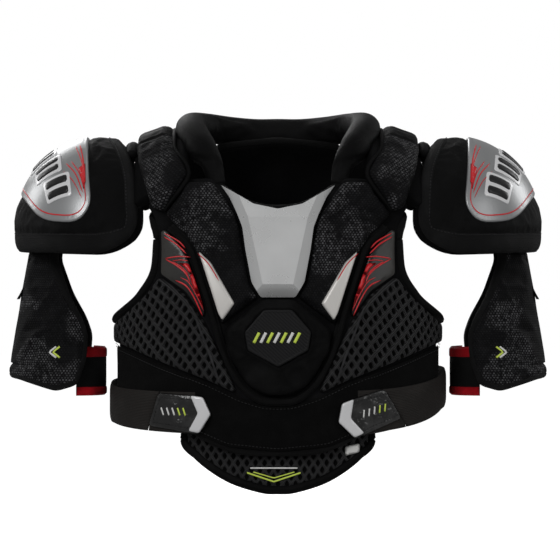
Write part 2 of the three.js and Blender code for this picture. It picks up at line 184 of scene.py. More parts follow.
def cap(a, b, d):
    """The shoulder cap's skin moved out by d (in if negative): a and b are a flat map of it seen from the top."""
    a, b, d = np.broadcast_arrays(np.asarray(a, float), np.asarray(b, float), np.asarray(d, float))
    rho = np.hypot(a, b) / CAP_MM
    k = np.where(rho > 1e-6, np.sin(rho) / np.maximum(rho, 1e-6), 1) / CAP_MM
    x, y, z = a * k, b * k, np.cos(rho)
    inset = -d * (0.42 + 0.58 * ramp(0.05, 0.7, z))
    px = CAP_X + x * np.where(x > 0, CAP_OUT - inset, CAP_IN)
    pz = CAP_Z + z * np.where(z > 0, CAP_UP - inset, CAP_DOWN)
    return np.stack([px, y * (CAP_DEEP - inset), pz], -1)


def cap_map(points):
    """Points seen from the front, on the cap's front, as a and b."""
    x, z = cap_share(np.asarray(points, float))
    r = np.hypot(x, z)
    x, z = np.where(r > 1, x / r, x), np.where(r > 1, z / r, z)
    y = -np.sqrt(np.clip(1 - x * x - z * z, 0, 1))
    rho = np.arccos(np.clip(z, -1, 1))
    k = CAP_MM * rho / np.maximum(np.hypot(x, y), 1e-6)
    return np.stack([x * k, y * k], -1)


# ------------------------------------------------------------------ outlines


def rounded(points, radius=6.0, arc=5):
    """A closed outline with its corners rounded off."""
    p = np.asarray(points, float)
    out = []
    for i, c in enumerate(p):
        a, b = p[i - 1] - c, p[(i + 1) % len(p)] - c
        la, lb = np.linalg.norm(a), np.linalg.norm(b)
        s, e = c + a / la * min(radius, la * 0.45), c + b / lb * min(radius, lb * 0.45)
        for t in np.linspace(0, 1, arc):
            out.append((1 - t) ** 2 * s + 2 * t * (1 - t) * c + t * t * e)
    return np.array(out)


def spaced(points, step, closed=True):
    """The same line with points about a step apart."""
    p = np.asarray(points, float)
    if closed:
        p = np.vstack([p, p[:1]])
    run = np.concatenate([[0], np.cumsum(np.linalg.norm(np.diff(p, axis=0), axis=1))])
    n = max(3, int(round(run[-1] / step)))
    at = np.linspace(0, run[-1], n + 1)[: n if closed else None]
    return np.stack([np.interp(at, run, p[:, k]) for k in range(p.shape[1])], -1)


def smooth_line(points, step):
    """A Catmull-Rom curve through points, resampled."""
    p = np.asarray(points, float)
    q = np.vstack([2 * p[0] - p[1], p, 2 * p[-1] - p[-2]])
    t = np.linspace(0, 1, 14)[:, None]
    out = []
    for a, b, c, d in zip(q, q[1:], q[2:], q[3:]):
        square, cube = 2 * a - 5 * b + 4 * c - d, 3 * b - a - 3 * c + d
        out.append(0.5 * (2 * b + (c - a) * t + square * t**2 + cube * t**3)[:-1])
    return spaced(np.vstack([*out, p[-1:]]), step, closed=False)


def both_halves(half):
    """A symmetric closed outline from its +X half, listed from top to bottom."""
    return [*half, *[(-x, z) for x, z in half[::-1] if x > 0]]


def both_ends(half):
    """A symmetric open line from its +X half, listed from the middle out."""
    return [*[(-x, z) for x, z in half[::-1] if x > 0], *half]


def ring(loop):
    """A closed loop as a line that ends where it starts."""
    return np.vstack([loop, loop[:1]])


def near(points, line, closed=True):
    """Distance from each point to a line."""
    a = np.asarray(line, float)
    b = np.roll(a, -1, axis=0) if closed else a[1:]
    a = a if closed else a[:-1]
    ab = b - a
    out = np.empty(len(points))
    for i in range(0, len(points), 2000):
        p = points[i : i + 2000, None, :]
        t = np.clip(((p - a) * ab).sum(-1) / np.maximum((ab * ab).sum(-1), 1e-9), 0, 1)
        out[i : i + 2000] = np.sqrt((((a + t[..., None] * ab) - p) ** 2).sum(-1).min(1))
    return out


def inside(points, loop):
    a, b = loop, np.roll(loop, -1, axis=0)
    out = np.empty(len(points), bool)
    for i in range(0, len(points), 2000):
        x, y = points[i : i + 2000, 0, None], points[i : i + 2000, 1, None]
        crosses = (a[:, 1] > y) != (b[:, 1] > y)
        at = a[:, 0] + (y - a[:, 1]) / np.where(b[:, 1] == a[:, 1], 1e-9, b[:, 1] - a[:, 1]) * (b[:, 0] - a[:, 0])
        out[i : i + 2000] = (crosses & (x < at)).sum(1) % 2 == 1
    return out


def filled(loop, step, rings=(0.7, 1.8)):
    """Triangles that fill a closed loop, with fine rows along its edge."""
    loop = spaced(loop, min(step, 2.6))
    lo, hi = loop.min(0), loop.max(0)
    rows = np.arange(lo[1], hi[1] + step, step * 0.87)
    grid = np.array([(x + (k % 2) * step / 2, y) for k,
                     y in enumerate(rows) for x in np.arange(lo[0] - step, hi[0] + step, step)])
    ahead, behind = np.roll(loop, -1, axis=0), np.roll(loop, 1, axis=0)
    along = ahead - behind
    normal = np.stack([-along[:, 1], along[:, 0]], -1) / np.maximum(np.linalg.norm(along, axis=1)[:, None], 1e-9)
    if (loop[:, 0] * ahead[:, 1] - ahead[:, 0] * loop[:, 1]).sum() < 0:
        normal = -normal
    extra = [loop + normal * r for r in rings]
    extra = np.vstack([e[near(e, loop) > 0.9 * r] for e, r in zip(extra, rings)]) if rings else np.empty((0, 2))
    last = rings[-1] if rings else 0
    grid = grid[near(grid, loop) > last + 0.55 * step]
    points = np.vstack([extra, grid])
    points = points[inside(points, loop)]
    coords = [Vector(p) for p in np.vstack([loop, points])]
    verts, _, faces, *_ = delaunay_2d_cdt(coords, [], [list(range(len(loop)))], 1, 1e-5)
    verts, faces = np.array([tuple(v) for v in verts]), np.array([f for f in faces if len(f) == 3])
    return verts, faces, near(verts, loop)


# ------------------------------------------------------------------ materials


class Graph:
    """A material's node graph, with sums on its values."""

    def __init__(self, name, color, rough, metal=0.0, sheen=0.0, coat=0.0, coat_rough=0.1, spec=0.5):
        self.mat = bpy.data.materials.new(name)
        self.mat.use_nodes = True
        self.nt = self.mat.node_tree
        self.shader = self.nt.nodes["Principled BSDF"]
        for key, value in {
            "Base Color": (*color, 1), "Roughness": rough, "Metallic": metal, "Sheen Weight": sheen,
            "Sheen Roughness": 0.5, "Coat Weight": coat, "Coat Roughness": coat_rough, "Specular IOR Level": spec,
        }.items():
            self.shader.inputs[key].default_value = value

    def node(self, kind, ins=None, **props):
        n = self.nt.nodes.new(kind)
        for k, v in props.items():
            setattr(n, k, v)
        for k, v in (ins or {}).items():
            self.put(v, n.inputs[k])
        return n

    def put(self, value, socket):
        if isinstance(value, bpy.types.NodeSocket):
            self.nt.links.new(value, socket)
        else:
            socket.default_value = value

    def math(self, op, *values):
        n = self.node("ShaderNodeMath", operation=op)
        for value, socket in zip(values, n.inputs):
            self.put(value, socket)
        return n.outputs[0]

    def uv(self):
        """The piece's own flat pattern, in millimetres."""
        sep = self.node("ShaderNodeSeparateXYZ", {0: self.node("ShaderNodeUVMap", uv_map="flat").outputs[0]})
        return self.math("MULTIPLY", sep.outputs[0], 10.0), self.math("MULTIPLY", sep.outputs[1], 10.0)

    def place(self):
        return self.node("ShaderNodeTexCoord").outputs["Object"]

    def noise(self, scale, detail=3.0, rough=0.5):
        n = self.node("ShaderNodeTexNoise", {"Vector": self.place(), "Scale": scale, "Detail": detail,
                                             "Roughness": rough})
        return n.outputs["Fac"]

    def step(self, low, high, value):
        n = self.node("ShaderNodeMapRange", {"Value": value, "From Min": low, "From Max": high},
                      interpolation_type="SMOOTHSTEP")
        return n.outputs[0]

    def dots(self, u, v, across, row, shape=None):
        """Distance to the nearest point of a staggered grid; with a shape, 1 at the edge of its diamond."""

        def cell(du, dv):
            def folded(value, pitch, shift):
                turn = self.math("FRACT", self.math("ADD", self.math("DIVIDE", value, pitch), shift))
                return self.math("MULTIPLY", self.math("SUBTRACT", turn, 0.5), pitch)

            fu, fv = folded(u, across, du), folded(v, 2 * row, dv)
            if shape is None:
                return self.math("SQRT", self.math("ADD", self.math("MULTIPLY", fu, fu),
                                                   self.math("MULTIPLY", fv, fv)))
            fu, fv = (self.math("POWER", self.math("DIVIDE", self.math("ABSOLUTE", f), k), 1.3) for f,
                      k in zip((fu, fv), shape))
            return self.math("POWER", self.math("ADD", fu, fv), 1 / 1.3)

        return self.math("MINIMUM", cell(0.0, 0.0), cell(0.5, 0.5))

    def mix(self, factor, a, b):
        n = self.node("ShaderNodeMix", data_type="RGBA")
        for value, socket in ((factor, n.inputs[0]), (a, n.inputs[6]), (b, n.inputs[7])):
            self.put(value, socket)
        return n.outputs[2]

    def paint(self, color):
        self.put(color, self.shader.inputs["Base Color"])

    def rough(self, value):
        self.put(value, self.shader.inputs["Roughness"])

    def bump(self, height, distance, strength=1.0):
        n = self.node("ShaderNodeBump", {"Height": height, "Distance": distance, "Strength": strength})
        below = self.shader.inputs["Normal"].links
        if below:
            self.nt.links.new(below[0].from_socket, n.inputs["Normal"])
        self.nt.links.new(n.outputs[0], self.shader.inputs["Normal"])


def scaled(by, color):
    return tuple(by * c for c in color)


def worn(g, dark, light, scale=22.0, low=0.42, high=0.72):
    """Patches of slightly rubbed and dusty cloth."""
    fac = g.step(low, high, g.noise(scale, 5.0, 0.6))
    return g.mix(fac, (*dark, 1), (*light, 1))


def knit(name, color, rough, pitch, sheen, depth):
    """Fine knit: small loops in staggered rows."""
    g = Graph(name, color, rough, sheen=sheen, spec=0.045)
    u, v = g.uv()
    g.bump(g.step(pitch * 0.55, 0.0, g.dots(u, v, pitch, pitch * 0.8)), depth)
    g.bump(g.noise(160, 4.0, 0.7), 0.0006, 0.5)
    g.paint(worn(g, color, scaled(1.9, color)))
    return g.mat


def hexprint(name):
    """Black cloth printed with small grey hexagon dots in drifting patches."""
    base = (0.0044, 0.0044, 0.0048)
    g = Graph(name, base, 0.64, sheen=0.003, spec=0.055)
    u, v = g.uv()
    d = g.dots(u, v, 2.7, 2.3)
    dot = g.step(1.12, 0.68, d)
    patch = g.step(0.485, 0.56, g.noise(19, 3.0, 0.55))
    fleck = g.step(0.30, 0.75, g.noise(260, 2.0, 0.6))
    tone = g.math("MULTIPLY", g.math("MULTIPLY", dot, fleck), g.math("ADD", g.math("MULTIPLY", patch, 0.9), 0.07))
    ground = worn(g, base, scaled(1.6, base))
    g.paint(g.mix(tone, ground, (0.115, 0.115, 0.12, 1)))
    g.rough(g.math("SUBTRACT", 0.66, g.math("MULTIPLY", tone, 0.25)))
    g.bump(g.step(1.3, 0.4, d), 0.0003)
    g.bump(g.noise(420, 3.0, 0.7), 0.0003, 0.5)
    return g.mat


def spacer(name):
    """Open spacer mesh: deep diamond cells in a knitted net, with painted shade making the cells near black."""
    base = (0.017, 0.017, 0.018)
    g = Graph(name, base, 0.75, sheen=0.01, spec=0.12)
    u, v = g.uv()
    cell = g.dots(u, v, *MESH_PITCH, shape=CELL)
    shaded_cell = g.step(0.92, 0.62, cell)
    fine = g.dots(u, v, 1.7, 1.2)
    yarn = g.step(0.8, 0.25, fine)
    light = g.mix(g.math("MULTIPLY", yarn, 0.95), (0.0035, 0.0035, 0.0037, 1), (0.075, 0.075, 0.077, 1))
    # painted shade: the cells are coloured near black to stand for the shade that falls inside them
    g.paint(g.mix(shaded_cell, light, (0.0012, 0.0012, 0.0012, 1)))
    g.rough(g.math("ADD", 0.6, g.math("MULTIPLY", shaded_cell, 0.35)))
    g.bump(yarn, 0.0006)
    g.bump(g.step(0.5, 1.0, cell), 0.0015)
    return g.mat


def elastic(name, color, rib=1.5):
    """Ribbed elastic webbing, its ribs running along the strap."""
    g = Graph(name, color, 0.7, sheen=0.01, spec=0.12)
    u, v = g.uv()
    wave = g.math("SINE", g.math("MULTIPLY", v, 2 * math.pi / rib))
    cross = g.math("SINE", g.math("MULTIPLY", u, 2 * math.pi / 0.9))
    height = g.math("ADD", g.math("MULTIPLY", wave, 0.4), g.math("MULTIPLY", cross, 0.15))
    g.bump(height, 0.0005)
    g.paint(worn(g, color, scaled(1.5, color), 30))
    return g.mat


def napped(name, color):
    """Brushed loop cloth: a short dense pile."""
    g = Graph(name, color, 0.95, sheen=0.015, spec=0.05)
    g.shader.inputs["Sheen Roughness"].default_value = 0.7
    pile = g.noise(900, 4.0, 0.8)
    lie = g.noise(60, 4.0, 0.6)
    g.bump(pile, 0.0012)
    g.bump(lie, 0.002, 0.4)
    g.paint(g.mix(g.step(0.35, 0.75, lie), (*color, 1), (*scaled(1.9, color), 1)))
    return g.mat


def moulded(name, color, rough, metal=0.0, coat=0.0, grain=0.00008, spec=0.5):
    g = Graph(name, color, rough, metal, coat=coat, spec=spec)
    cloud = g.noise(35, 4.0, 0.6)
    g.rough(g.math("ADD", rough - 0.06, g.math("MULTIPLY", cloud, 0.14)))
    g.paint(g.mix(g.step(0.3, 0.8, g.noise(9, 3.0)), (*color, 1), (*scaled(1.15, color), 1)))
    g.bump(g.noise(420, 2.0, 0.5), grain * 0.5)
    return g.mat


def crinkled(name):
    """Clear glossy film over black cloth, slightly crinkled."""
    g = Graph(name, (0.012, 0.012, 0.012), 0.16, coat=0.25, spec=0.5)
    g.paint(worn(g, (0.008, 0.008, 0.008), (0.03, 0.03, 0.03), 60, 0.4, 0.7))
    g.bump(g.noise(55, 3.0, 0.6), 0.004)
    g.bump(g.noise(700, 2.0, 0.5), 0.0001)
    return g.mat


def graded(name):
    """Glossy film that is printed from near black at the breastbone to mid grey at the armhole."""
    g = Graph(name, (0.02, 0.02, 0.02), 0.24, coat=0.12, spec=0.25)
    x = g.node("ShaderNodeSeparateXYZ", {0: g.place()}).outputs[0]
    fac = g.step(0.078, 0.118, g.math("ABSOLUTE", x))
    tone = g.math("MULTIPLY", fac, g.math("ADD", 0.7, g.math("MULTIPLY", g.noise(60, 3.0), 0.5)))
    g.paint(g.mix(tone, (0.006, 0.006, 0.006, 1), (0.042, 0.040, 0.037, 1)))
    g.bump(g.noise(900, 2.0, 0.5), 0.0001)
    return g.mat


def tape(name, color, rough=0.75):
    """Woven binding tape."""
    g = Graph(name, color, rough, sheen=0.01, spec=0.12)
    u, v = g.uv()
    a = g.math("SINE", g.math("MULTIPLY", g.math("ADD", u, v), 2 * math.pi / 1.2))
    b = g.math("SINE", g.math("MULTIPLY", g.math("SUBTRACT", u, v), 2 * math.pi / 1.2))
    g.bump(g.math("MULTIPLY", a, b), 0.0003)
    g.paint(worn(g, color, scaled(1.6, color), 40))
    return g.mat


MESH_PITCH = (9.6, 6.9)  # spacer mesh: between cells, and between rows
CELL = (3.2, 4.7)  # half a cell, across and up
M = {
    "lining": knit("lining", (0.0050, 0.0050, 0.0053), 0.9, 1.6, 0.01, 0.0004),
    "foam": knit("foam_cover", (0.0036, 0.0036, 0.0038), 0.66, 0.9, 0.003, 0.00018),
    "smooth": knit("smooth_cover", (0.0038, 0.0038, 0.0039), 0.58, 0.8, 0.003, 0.00012),
    "printed": hexprint("hexagon_print"),
    "mesh": spacer("spacer_mesh"),
    "loop": napped("loop_cloth", (0.0022, 0.0022, 0.0022)),
    "binding": tape("binding_tape", (0.0044, 0.0044, 0.0045)),
    "edge": tape("edge_tape", (0.0085, 0.0085, 0.0088)),
    "elastic": elastic("waist_elastic", (0.023, 0.0208, 0.0192)),
    "webbing": elastic("arm_webbing", (0.0044, 0.0044, 0.0045), 1.2),
    "red_tape": tape("red_tape", (0.50, 0.006, 0.014), 0.6),
    "film": crinkled("gloss_film"),
    "graphic": graded("graphic_film"),
    "silver": moulded("silver_plastic", (0.66, 0.665, 0.665), 0.27, 0.45, coat=0.3),
    "badge": moulded("badge_plastic", (0.31, 0.315, 0.32), 0.36, 0.55, coat=0.08),
    "pearl": moulded("pearl_plastic", (0.66, 0.64, 0.61), 0.34, 0.1, coat=0.2),
    "bright": moulded("bright_print", (0.72, 0.72, 0.73), 0.32, 0.1, coat=0.1),
    "hard": moulded("hard_plastic", (0.0055, 0.0055, 0.006), 0.38, spec=0.22, grain=0.0002),
    "rubber": moulded("crest_rubber", (0.010, 0.010, 0.0105), 0.5, spec=0.15, grain=0.0002),
    "dark": moulded("dark_inlay", (0.012, 0.012, 0.0125), 0.3, spec=0.3),
    "red": moulded("red_print", (0.60, 0.008, 0.014), 0.35, coat=0.1),
    "lime": moulded("lime_print", (0.60, 0.74, 0.09), 0.5),
    "white": moulded("white_print", (0.72, 0.72, 0.70), 0.5),
    "thread": tape("thread", (0.045, 0.045, 0.047), 0.7),
}

# ------------------------------------------------------------------ making pieces


def piece(name, verts, faces, mat, body, flat=None, mirror=False, replaces=(), fill=None, slot=None, bends=None):
    """A smooth mesh piece that rides on a body, or, when bends is given, is attached to no body.

    It stands for the CAD nodes it replaces; True is the node of its own name."""
    verts, faces = np.array(verts, float), outward(verts, faces)
    if mirror:
        verts = verts * (-1, 1, 1)
        faces = [f[::-1] for f in faces]
    me = bpy.data.meshes.new(name)
    me.from_pydata((verts / 1000).tolist(), [], faces)
    layer = me.uv_layers.new(name="flat")
    if flat is not None:
        index = np.empty(len(me.loops), np.int32)
        me.loops.foreach_get("vertex_index", index)
        layer.data.foreach_set("uv", (np.asarray(flat, float)[index] / 10).ravel())
    me.materials.append(M[mat])
    me.polygons.foreach_set("use_smooth", [True] * len(me.polygons))
    me.update()
    obj = bpy.data.objects.new(name, me)
    bpy.context.scene.collection.objects.link(obj)
    if bends:
        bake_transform(obj)
    else:
        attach(obj, body)
    if replaces:
        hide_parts(*((name,) if replaces is True else replaces))
    return obj


def outward(verts, faces):
    """Faces of a closed form, turned to face out of it."""
    v = np.asarray(verts, float)
    v = v - v.mean(0)
    fans = np.array([(f[0], f[i], f[i + 1]) for f in faces for i in range(1, len(f) - 1)])
    inside_out = np.einsum("ij,ij->i", v[fans[:, 0]], np.cross(v[fans[:, 1]], v[fans[:, 2]])).sum() < 0
    return [list(f)[::-1] if inside_out else list(f) for f in faces]


PUFFED = {}


def puffed(key, verts, faces, held, limit, pressure=4.0, slack=0.05):
    """A padded form after cloth simulation: air pressure fills it while its seams are held."""
    if key in PUFFED:
        return PUFFED[key]
    me = bpy.data.meshes.new("puff")
    me.from_pydata((verts / 1000).tolist(), [], outward(verts, faces))
    me.update()
    obj = bpy.data.objects.new("puff", me)
    scene = bpy.context.scene
    scene.collection.objects.link(obj)
    obj.vertex_groups.new(name="seams").add([int(i) for i in np.flatnonzero(held)], 1.0, "REPLACE")
    cloth = obj.modifiers.new("cloth", "CLOTH")
    cloth.point_cache.frame_start, cloth.point_cache.frame_end = 1, 20
    cloth.settings.quality = 6
    cloth.settings.mass = 0.2
    cloth.settings.vertex_group_mass = "seams"
    cloth.settings.use_pressure = True
    cloth.settings.uniform_pressure_force = pressure
    cloth.settings.shrink_min = -slack
    cloth.settings.effector_weights.gravity = 0
    for step in range(1, 21):
        scene.frame_set(step)
    shaped = obj.evaluated_get(bpy.context.evaluated_depsgraph_get())
    at = np.empty(len(verts) * 3)
    shaped.data.vertices.foreach_get("co", at)
    move = at.reshape(-1, 3) * 1000 - verts
    far = np.linalg.norm(move, axis=1)[:, None]
    bpy.data.objects.remove(obj)
    bpy.data.meshes.remove(me)
    scene.frame_set(1)
    PUFFED[key] = verts + move * np.minimum(1, limit / np.maximum(far, 1e-9))
    return PUFFED[key]


def crown(dist, edge):
    """Height of a padded edge, from 0 at its seam to 1."""
    r = np.clip(1 - dist / edge, 0, 1)
    return np.sqrt(np.clip(1 - r * r, 0, 1))


def wobble(u, v, seed=0.0):
    """Slow unevenness of hand-filled padding, about -1 to 1."""
    return (
        np.sin(u / 13 + seed) * np.sin(v / 17 + 2 * seed)
        + 0.6 * np.sin(u / 7.3 - v / 9 + 3 * seed)
        + 0.4 * np.sin(u / 4.1 + v / 5.2 + 5 * seed)
    ) / 2


def pad(name, loop, surface, base, top, mat, body, step=3.0, edge=7.0, soft=0.25, relief=None, grooves=(),
        seam=0.0, rings=(0.7, 1.8, 3.2), seed=1.0, puff=0, slack=0.05, hold=None, **how):
    """A crowned pad over a closed loop, from base to top; its edge seam is a share of the way up.

    A puff, in millimetres, is how far cloth simulation may move it, except where hold says it is sewn down."""
    uv, tris, dist = filled(loop, step, rings)
    u, v = uv.T
    up = crown(dist, edge)
    rim_d = base + (top - base) * seam
    d = rim_d + (top - rim_d) * up + soft * wobble(u, v, seed) * up
    held = dist < 1.2 if hold is None else (dist < 1.2) | hold(uv, dist)
    for line, deep, wide in grooves:
        sewn = np.exp(-((near(uv, line, closed=False) / wide) ** 2))
        d = d - deep * sewn * up
        held |= sewn > 0.6
    if relief is not None:
        d = d + relief(u, v, dist) * np.minimum(1, dist / 2)
    upper, lower = surface(u, v, d), surface(u, v, rim_d - (rim_d - base) * up)
    rim = dist < 1e-4
    n = len(uv)
    match = np.where(rim, np.arange(n), np.arange(n) + n)
    used = np.concatenate([np.ones(n, bool), ~rim])
    index = np.cumsum(used) - 1
    both = np.vstack([tris, match[tris][:, ::-1]])
    both = index[both]
    verts = np.vstack([upper, lower])[used]
    flat = np.vstack([uv, uv])[used]
    if puff:
        key = name.rsplit("_", 1)[0]
        verts = puffed(key, verts, both, np.concatenate([held, np.ones(n, bool)])[used], puff, slack=slack)
    return piece(name, verts, both, mat, body, flat=flat, **how)


def swept(name, line, section_at, mat, body, sides=10, closed=False, up=None, puff=0, **how):
    """A tube along a line; section_at(share) gives its two radii, across and up."""
    p = np.asarray(line, float)
    n = len(p)
    tangent = np.gradient(p, axis=0) if not closed else np.roll(p, -1, 0) - np.roll(p, 1, 0)
    tangent /= np.linalg.norm(tangent, axis=1)[:, None]
    guide = np.tile(np.array(up if up is not None else (0, 0, 1.0)), (n, 1)) if np.ndim(up) < 2 else np.asarray(up)
    side = np.cross(tangent, guide)
    side /= np.maximum(np.linalg.norm(side, axis=1)[:, None], 1e-9)
    top = np.cross(side, tangent)
    angle = np.linspace(0, 2 * math.pi, sides, endpoint=False)
    verts, flat = [], []
    run = np.concatenate([[0], np.cumsum(np.linalg.norm(np.diff(p, axis=0), axis=1))])
    for i in range(n):
        ra, rb = section_at(i / (n - 1))
        verts.append(p[i] + np.outer(np.cos(angle) * ra, side[i]) + np.outer(np.sin(angle) * rb, top[i]))
        flat.append(np.stack([np.full(sides, run[i]), angle * (ra + rb) / 2], -1))
    verts, flat = np.vstack(verts), np.vstack(flat)
    faces = []
    for i in range(n if closed else n - 1):
        for j in range(sides):
            a, b = i * sides + j, i * sides + (j + 1) % sides
            c, d = (b + sides) % (n * sides), (a + sides) % (n * sides)
            faces.append((a, b, c, d))
    if not closed:
        faces.append(tuple(range(sides))[::-1])
        faces.append(tuple(range((n - 1) * sides, n * sides)))
    if puff:
        held = np.tile(np.isin(np.arange(sides), (sides * 3 // 4, sides * 3 // 4 + 1)), n)
        held[: 4 * sides] = held[-4 * sides :] = True
        verts = puffed(name, verts, faces, held, puff, slack=0.03)
    return piece(name, verts, faces, mat, body, flat=flat, **how)


def cord(name, line, radius, mat, body, sides=8, **how):
    taper = lambda s: (radius * (0.4 + 0.6 * min(1, s * 14, (1 - s) * 14)),) * 2
    return swept(name, line, taper, mat, body, sides, **how)


def ribbon(name, points, width, surface, d, mat, body, to_uv=on_chest, thick=0.35, taper=True, step=2.0, **how):
    """A thin printed or moulded stripe laid along a line on a surface."""
    line = spaced(to_uv(points) if to_uv else points, step, closed=False)
    along = np.gradient(line, axis=0)
    along /= np.linalg.norm(along, axis=1)[:, None]
    out = np.stack([-along[:, 1], along[:, 0]], -1)
    s = np.linspace(0, 1, len(line))
    w = width / 2 * (np.minimum(1, np.minimum(s, 1 - s) * 8 + 0.12) if taper else np.ones(len(line)))
    rows = [(line + out * w[:, None] * k, h) for k, h in ((-1, 0), (-0.8, thick), (0.8, thick), (1, 0))]
    verts = np.concatenate([surface(*uv.T, d + h) for uv, h in rows])
    flat = np.concatenate([uv for uv, _ in rows])
    n = len(line)
    faces = [(k * n + i, k * n + i + 1, ((k + 1) % 4) * n + i + 1,
              ((k + 1) % 4) * n + i) for k in range(4) for i in range(n - 1)]
    faces += [(0, n, 2 * n, 3 * n), (4 * n - 1, 3 * n - 1, 2 * n - 1, n - 1)]
    return piece(name, verts, faces, mat, body, flat=flat, **how)


def strip(name, near_edge, far_edge, thick, mat, body, across=6, **how):
    """A strap between two 3-D edge lines, thick away from the body (both lines carry their outward normals)."""
    (p0, n0), (p1, n1) = near_edge, far_edge
    n, rows = len(p0), across + 1
    t = np.linspace(0, 1, rows)[:, None, None]
    mid, out = p0 * (1 - t) + p1 * t, n0 * (1 - t) + n1 * t
    round_off = (1 - (np.abs(2 * t - 1) ** 6)) * thick
    verts = np.concatenate([mid + out * (thick * 0.25 + round_off * 0.75), mid]).reshape(-1, 3)
    run = np.concatenate([[0], np.cumsum(np.linalg.norm(np.diff(p0, axis=0), axis=1))])
    tall = np.linalg.norm(p1 - p0, axis=1).mean()
    flat = np.tile(np.stack([np.tile(run, rows), np.repeat(np.linspace(0, tall, rows), n)], -1), (2, 1))
    low = rows * n
    faces = []
    for r in range(rows - 1):
        for i in range(n - 1):
            a, b, c, d = r * n + i, r * n + i + 1, (r + 1) * n + i + 1, (r + 1) * n + i
            faces += [(a, b, c, d), (low + d, low + c, low + b, low + a)]
    for i in range(n - 1):
        faces += [(i + 1, i, low + i, low + i + 1), (low - n + i, low - n + i + 1, 2 * low - n + i + 1,
                                                     2 * low - n + i)]
    for r in range(rows - 1):
        a, b = r * n, (r + 1) * n
        faces += [(a, b, low + b, low + a), (b + n - 1, a + n - 1, low + a + n - 1, low + b + n - 1)]
    return piece(name, verts, faces, mat, body, flat=flat, **how)


def two_tone(obj, mat, above):
    """A second cloth on the part of a piece whose flat pattern lies above a line."""
    obj.data.materials.append(M[mat])
    layer = obj.data.uv_layers["flat"].data
    for face in obj.data.polygons:
        if min(layer[i].uv[1] for i in face.loop_indices) * 10 > above:
            face.material_index = 1


SIDES = (("left", False), ("right", True))
FRONT_SIDE = float(u_of(0.958))  # the chest's side edge
BACK_SIDE = float(u_of(0.955))


def clipped(loop, limit):
    """A loop on the body, cut off at the open side."""
    loop = np.array(loop)
    loop[:, 0] = np.clip(loop[:, 0], -limit, limit)
    keep = np.linalg.norm(loop - np.roll(loop, 1, axis=0), axis=1) > 1e-6
    return loop[keep]


def chest_loop(points, d, radius=6.0):
    return clipped(on_chest(spaced(rounded(points, radius), 2.0), d), FRONT_SIDE)


def back_loop(points, d, radius=6.0):
    return clipped(on_back(spaced(rounded(points, radius), 2.0), d), BACK_SIDE)


def cells(u, v):
    """How deep the spacer mesh is at a point, from 0 on its net to 1 in its cells."""

    def cell(du, dv):
        fu = (np.mod(u / MESH_PITCH[0] + du, 1) - 0.5) * MESH_PITCH[0]
        fv = (np.mod(v / (2 * MESH_PITCH[1]) + dv, 1) - 0.5) * 2 * MESH_PITCH[1]
        return (np.abs(fu / CELL[0]) ** 1.3 + np.abs(fv / CELL[1]) ** 1.3) ** (1 / 1.3)

    return 1 - ramp(0.55, 1.0, np.minimum(cell(0, 0), cell(0.5, 0.5)))


# ------------------------------------------------------------------ edges and sewing


def inward(loop, closed=True):
    """Unit normals of a line that point into it (or to its left)."""
    along = np.roll(loop, -1, 0) - np.roll(loop, 1, 0) if closed else np.gradient(loop, axis=0)
    n = np.stack([-along[:, 1], along[:, 0]], -1)
    n /= np.maximum(np.linalg.norm(n, axis=1)[:, None], 1e-9)
    ahead = np.roll(loop, -1, 0)
    if closed and (loop[:, 0] * ahead[:, 1] - ahead[:, 0] * loop[:, 1]).sum() < 0:
        n = -n
    return n


def offset(loop, by, closed=True):
    """The line moved inward, eased where it would fold."""
    moved = loop + inward(loop, closed) * by
    if closed and abs(by) > 2:
        for _ in range(6):
            moved = 0.5 * moved + 0.25 * (np.roll(moved, 1, 0) + np.roll(moved, -1, 0))
    return moved


def hem(name, loop, surface, top_at, under, width, mat, body, thick=0.5, **how):
    """Binding folded over an edge: top_at(inset) is the pad's height there, under its lower face."""
    loop = spaced(loop, 2.5)
    under_width = width * 0.8
    mid = (top_at(0) + under) / 2
    rows = [(width, top_at(width) - 0.3), (width - 0.3, top_at(width) + thick)]
    rows += [(width * k, top_at(width * k) + thick) for k in (0.75, 0.5, 0.28, 0.12)]
    rows += [(-thick * 0.6, top_at(0) + thick * 0.7), (-thick, mid), (-thick * 0.6, under - thick * 0.7)]
    rows += [(width * 0.2, under - thick), (under_width, under - thick), (under_width + 0.3, under + 0.3)]
    n, m = len(loop), len(rows)
    verts, flat = [], []
    run = np.concatenate([[0], np.cumsum(np.linalg.norm(np.diff(loop, axis=0), axis=1))])
    for k, (inset, d) in enumerate(rows):
        uv = offset(loop, inset)
        verts.append(surface(uv[:, 0], uv[:, 1], d))
        flat.append(np.stack([run, np.full(n, k * 1.5)], -1))
    verts, flat = np.vstack(verts), np.vstack(flat)
    faces = []
    for k in range(m):
        for i in range(n):
            j = (i + 1) % n
            faces.append((k * n + i, k * n + j, (k + 1) % m * n + j, (k + 1) % m * n + i))
    return piece(name, verts, faces, mat, body, flat=flat, **how)


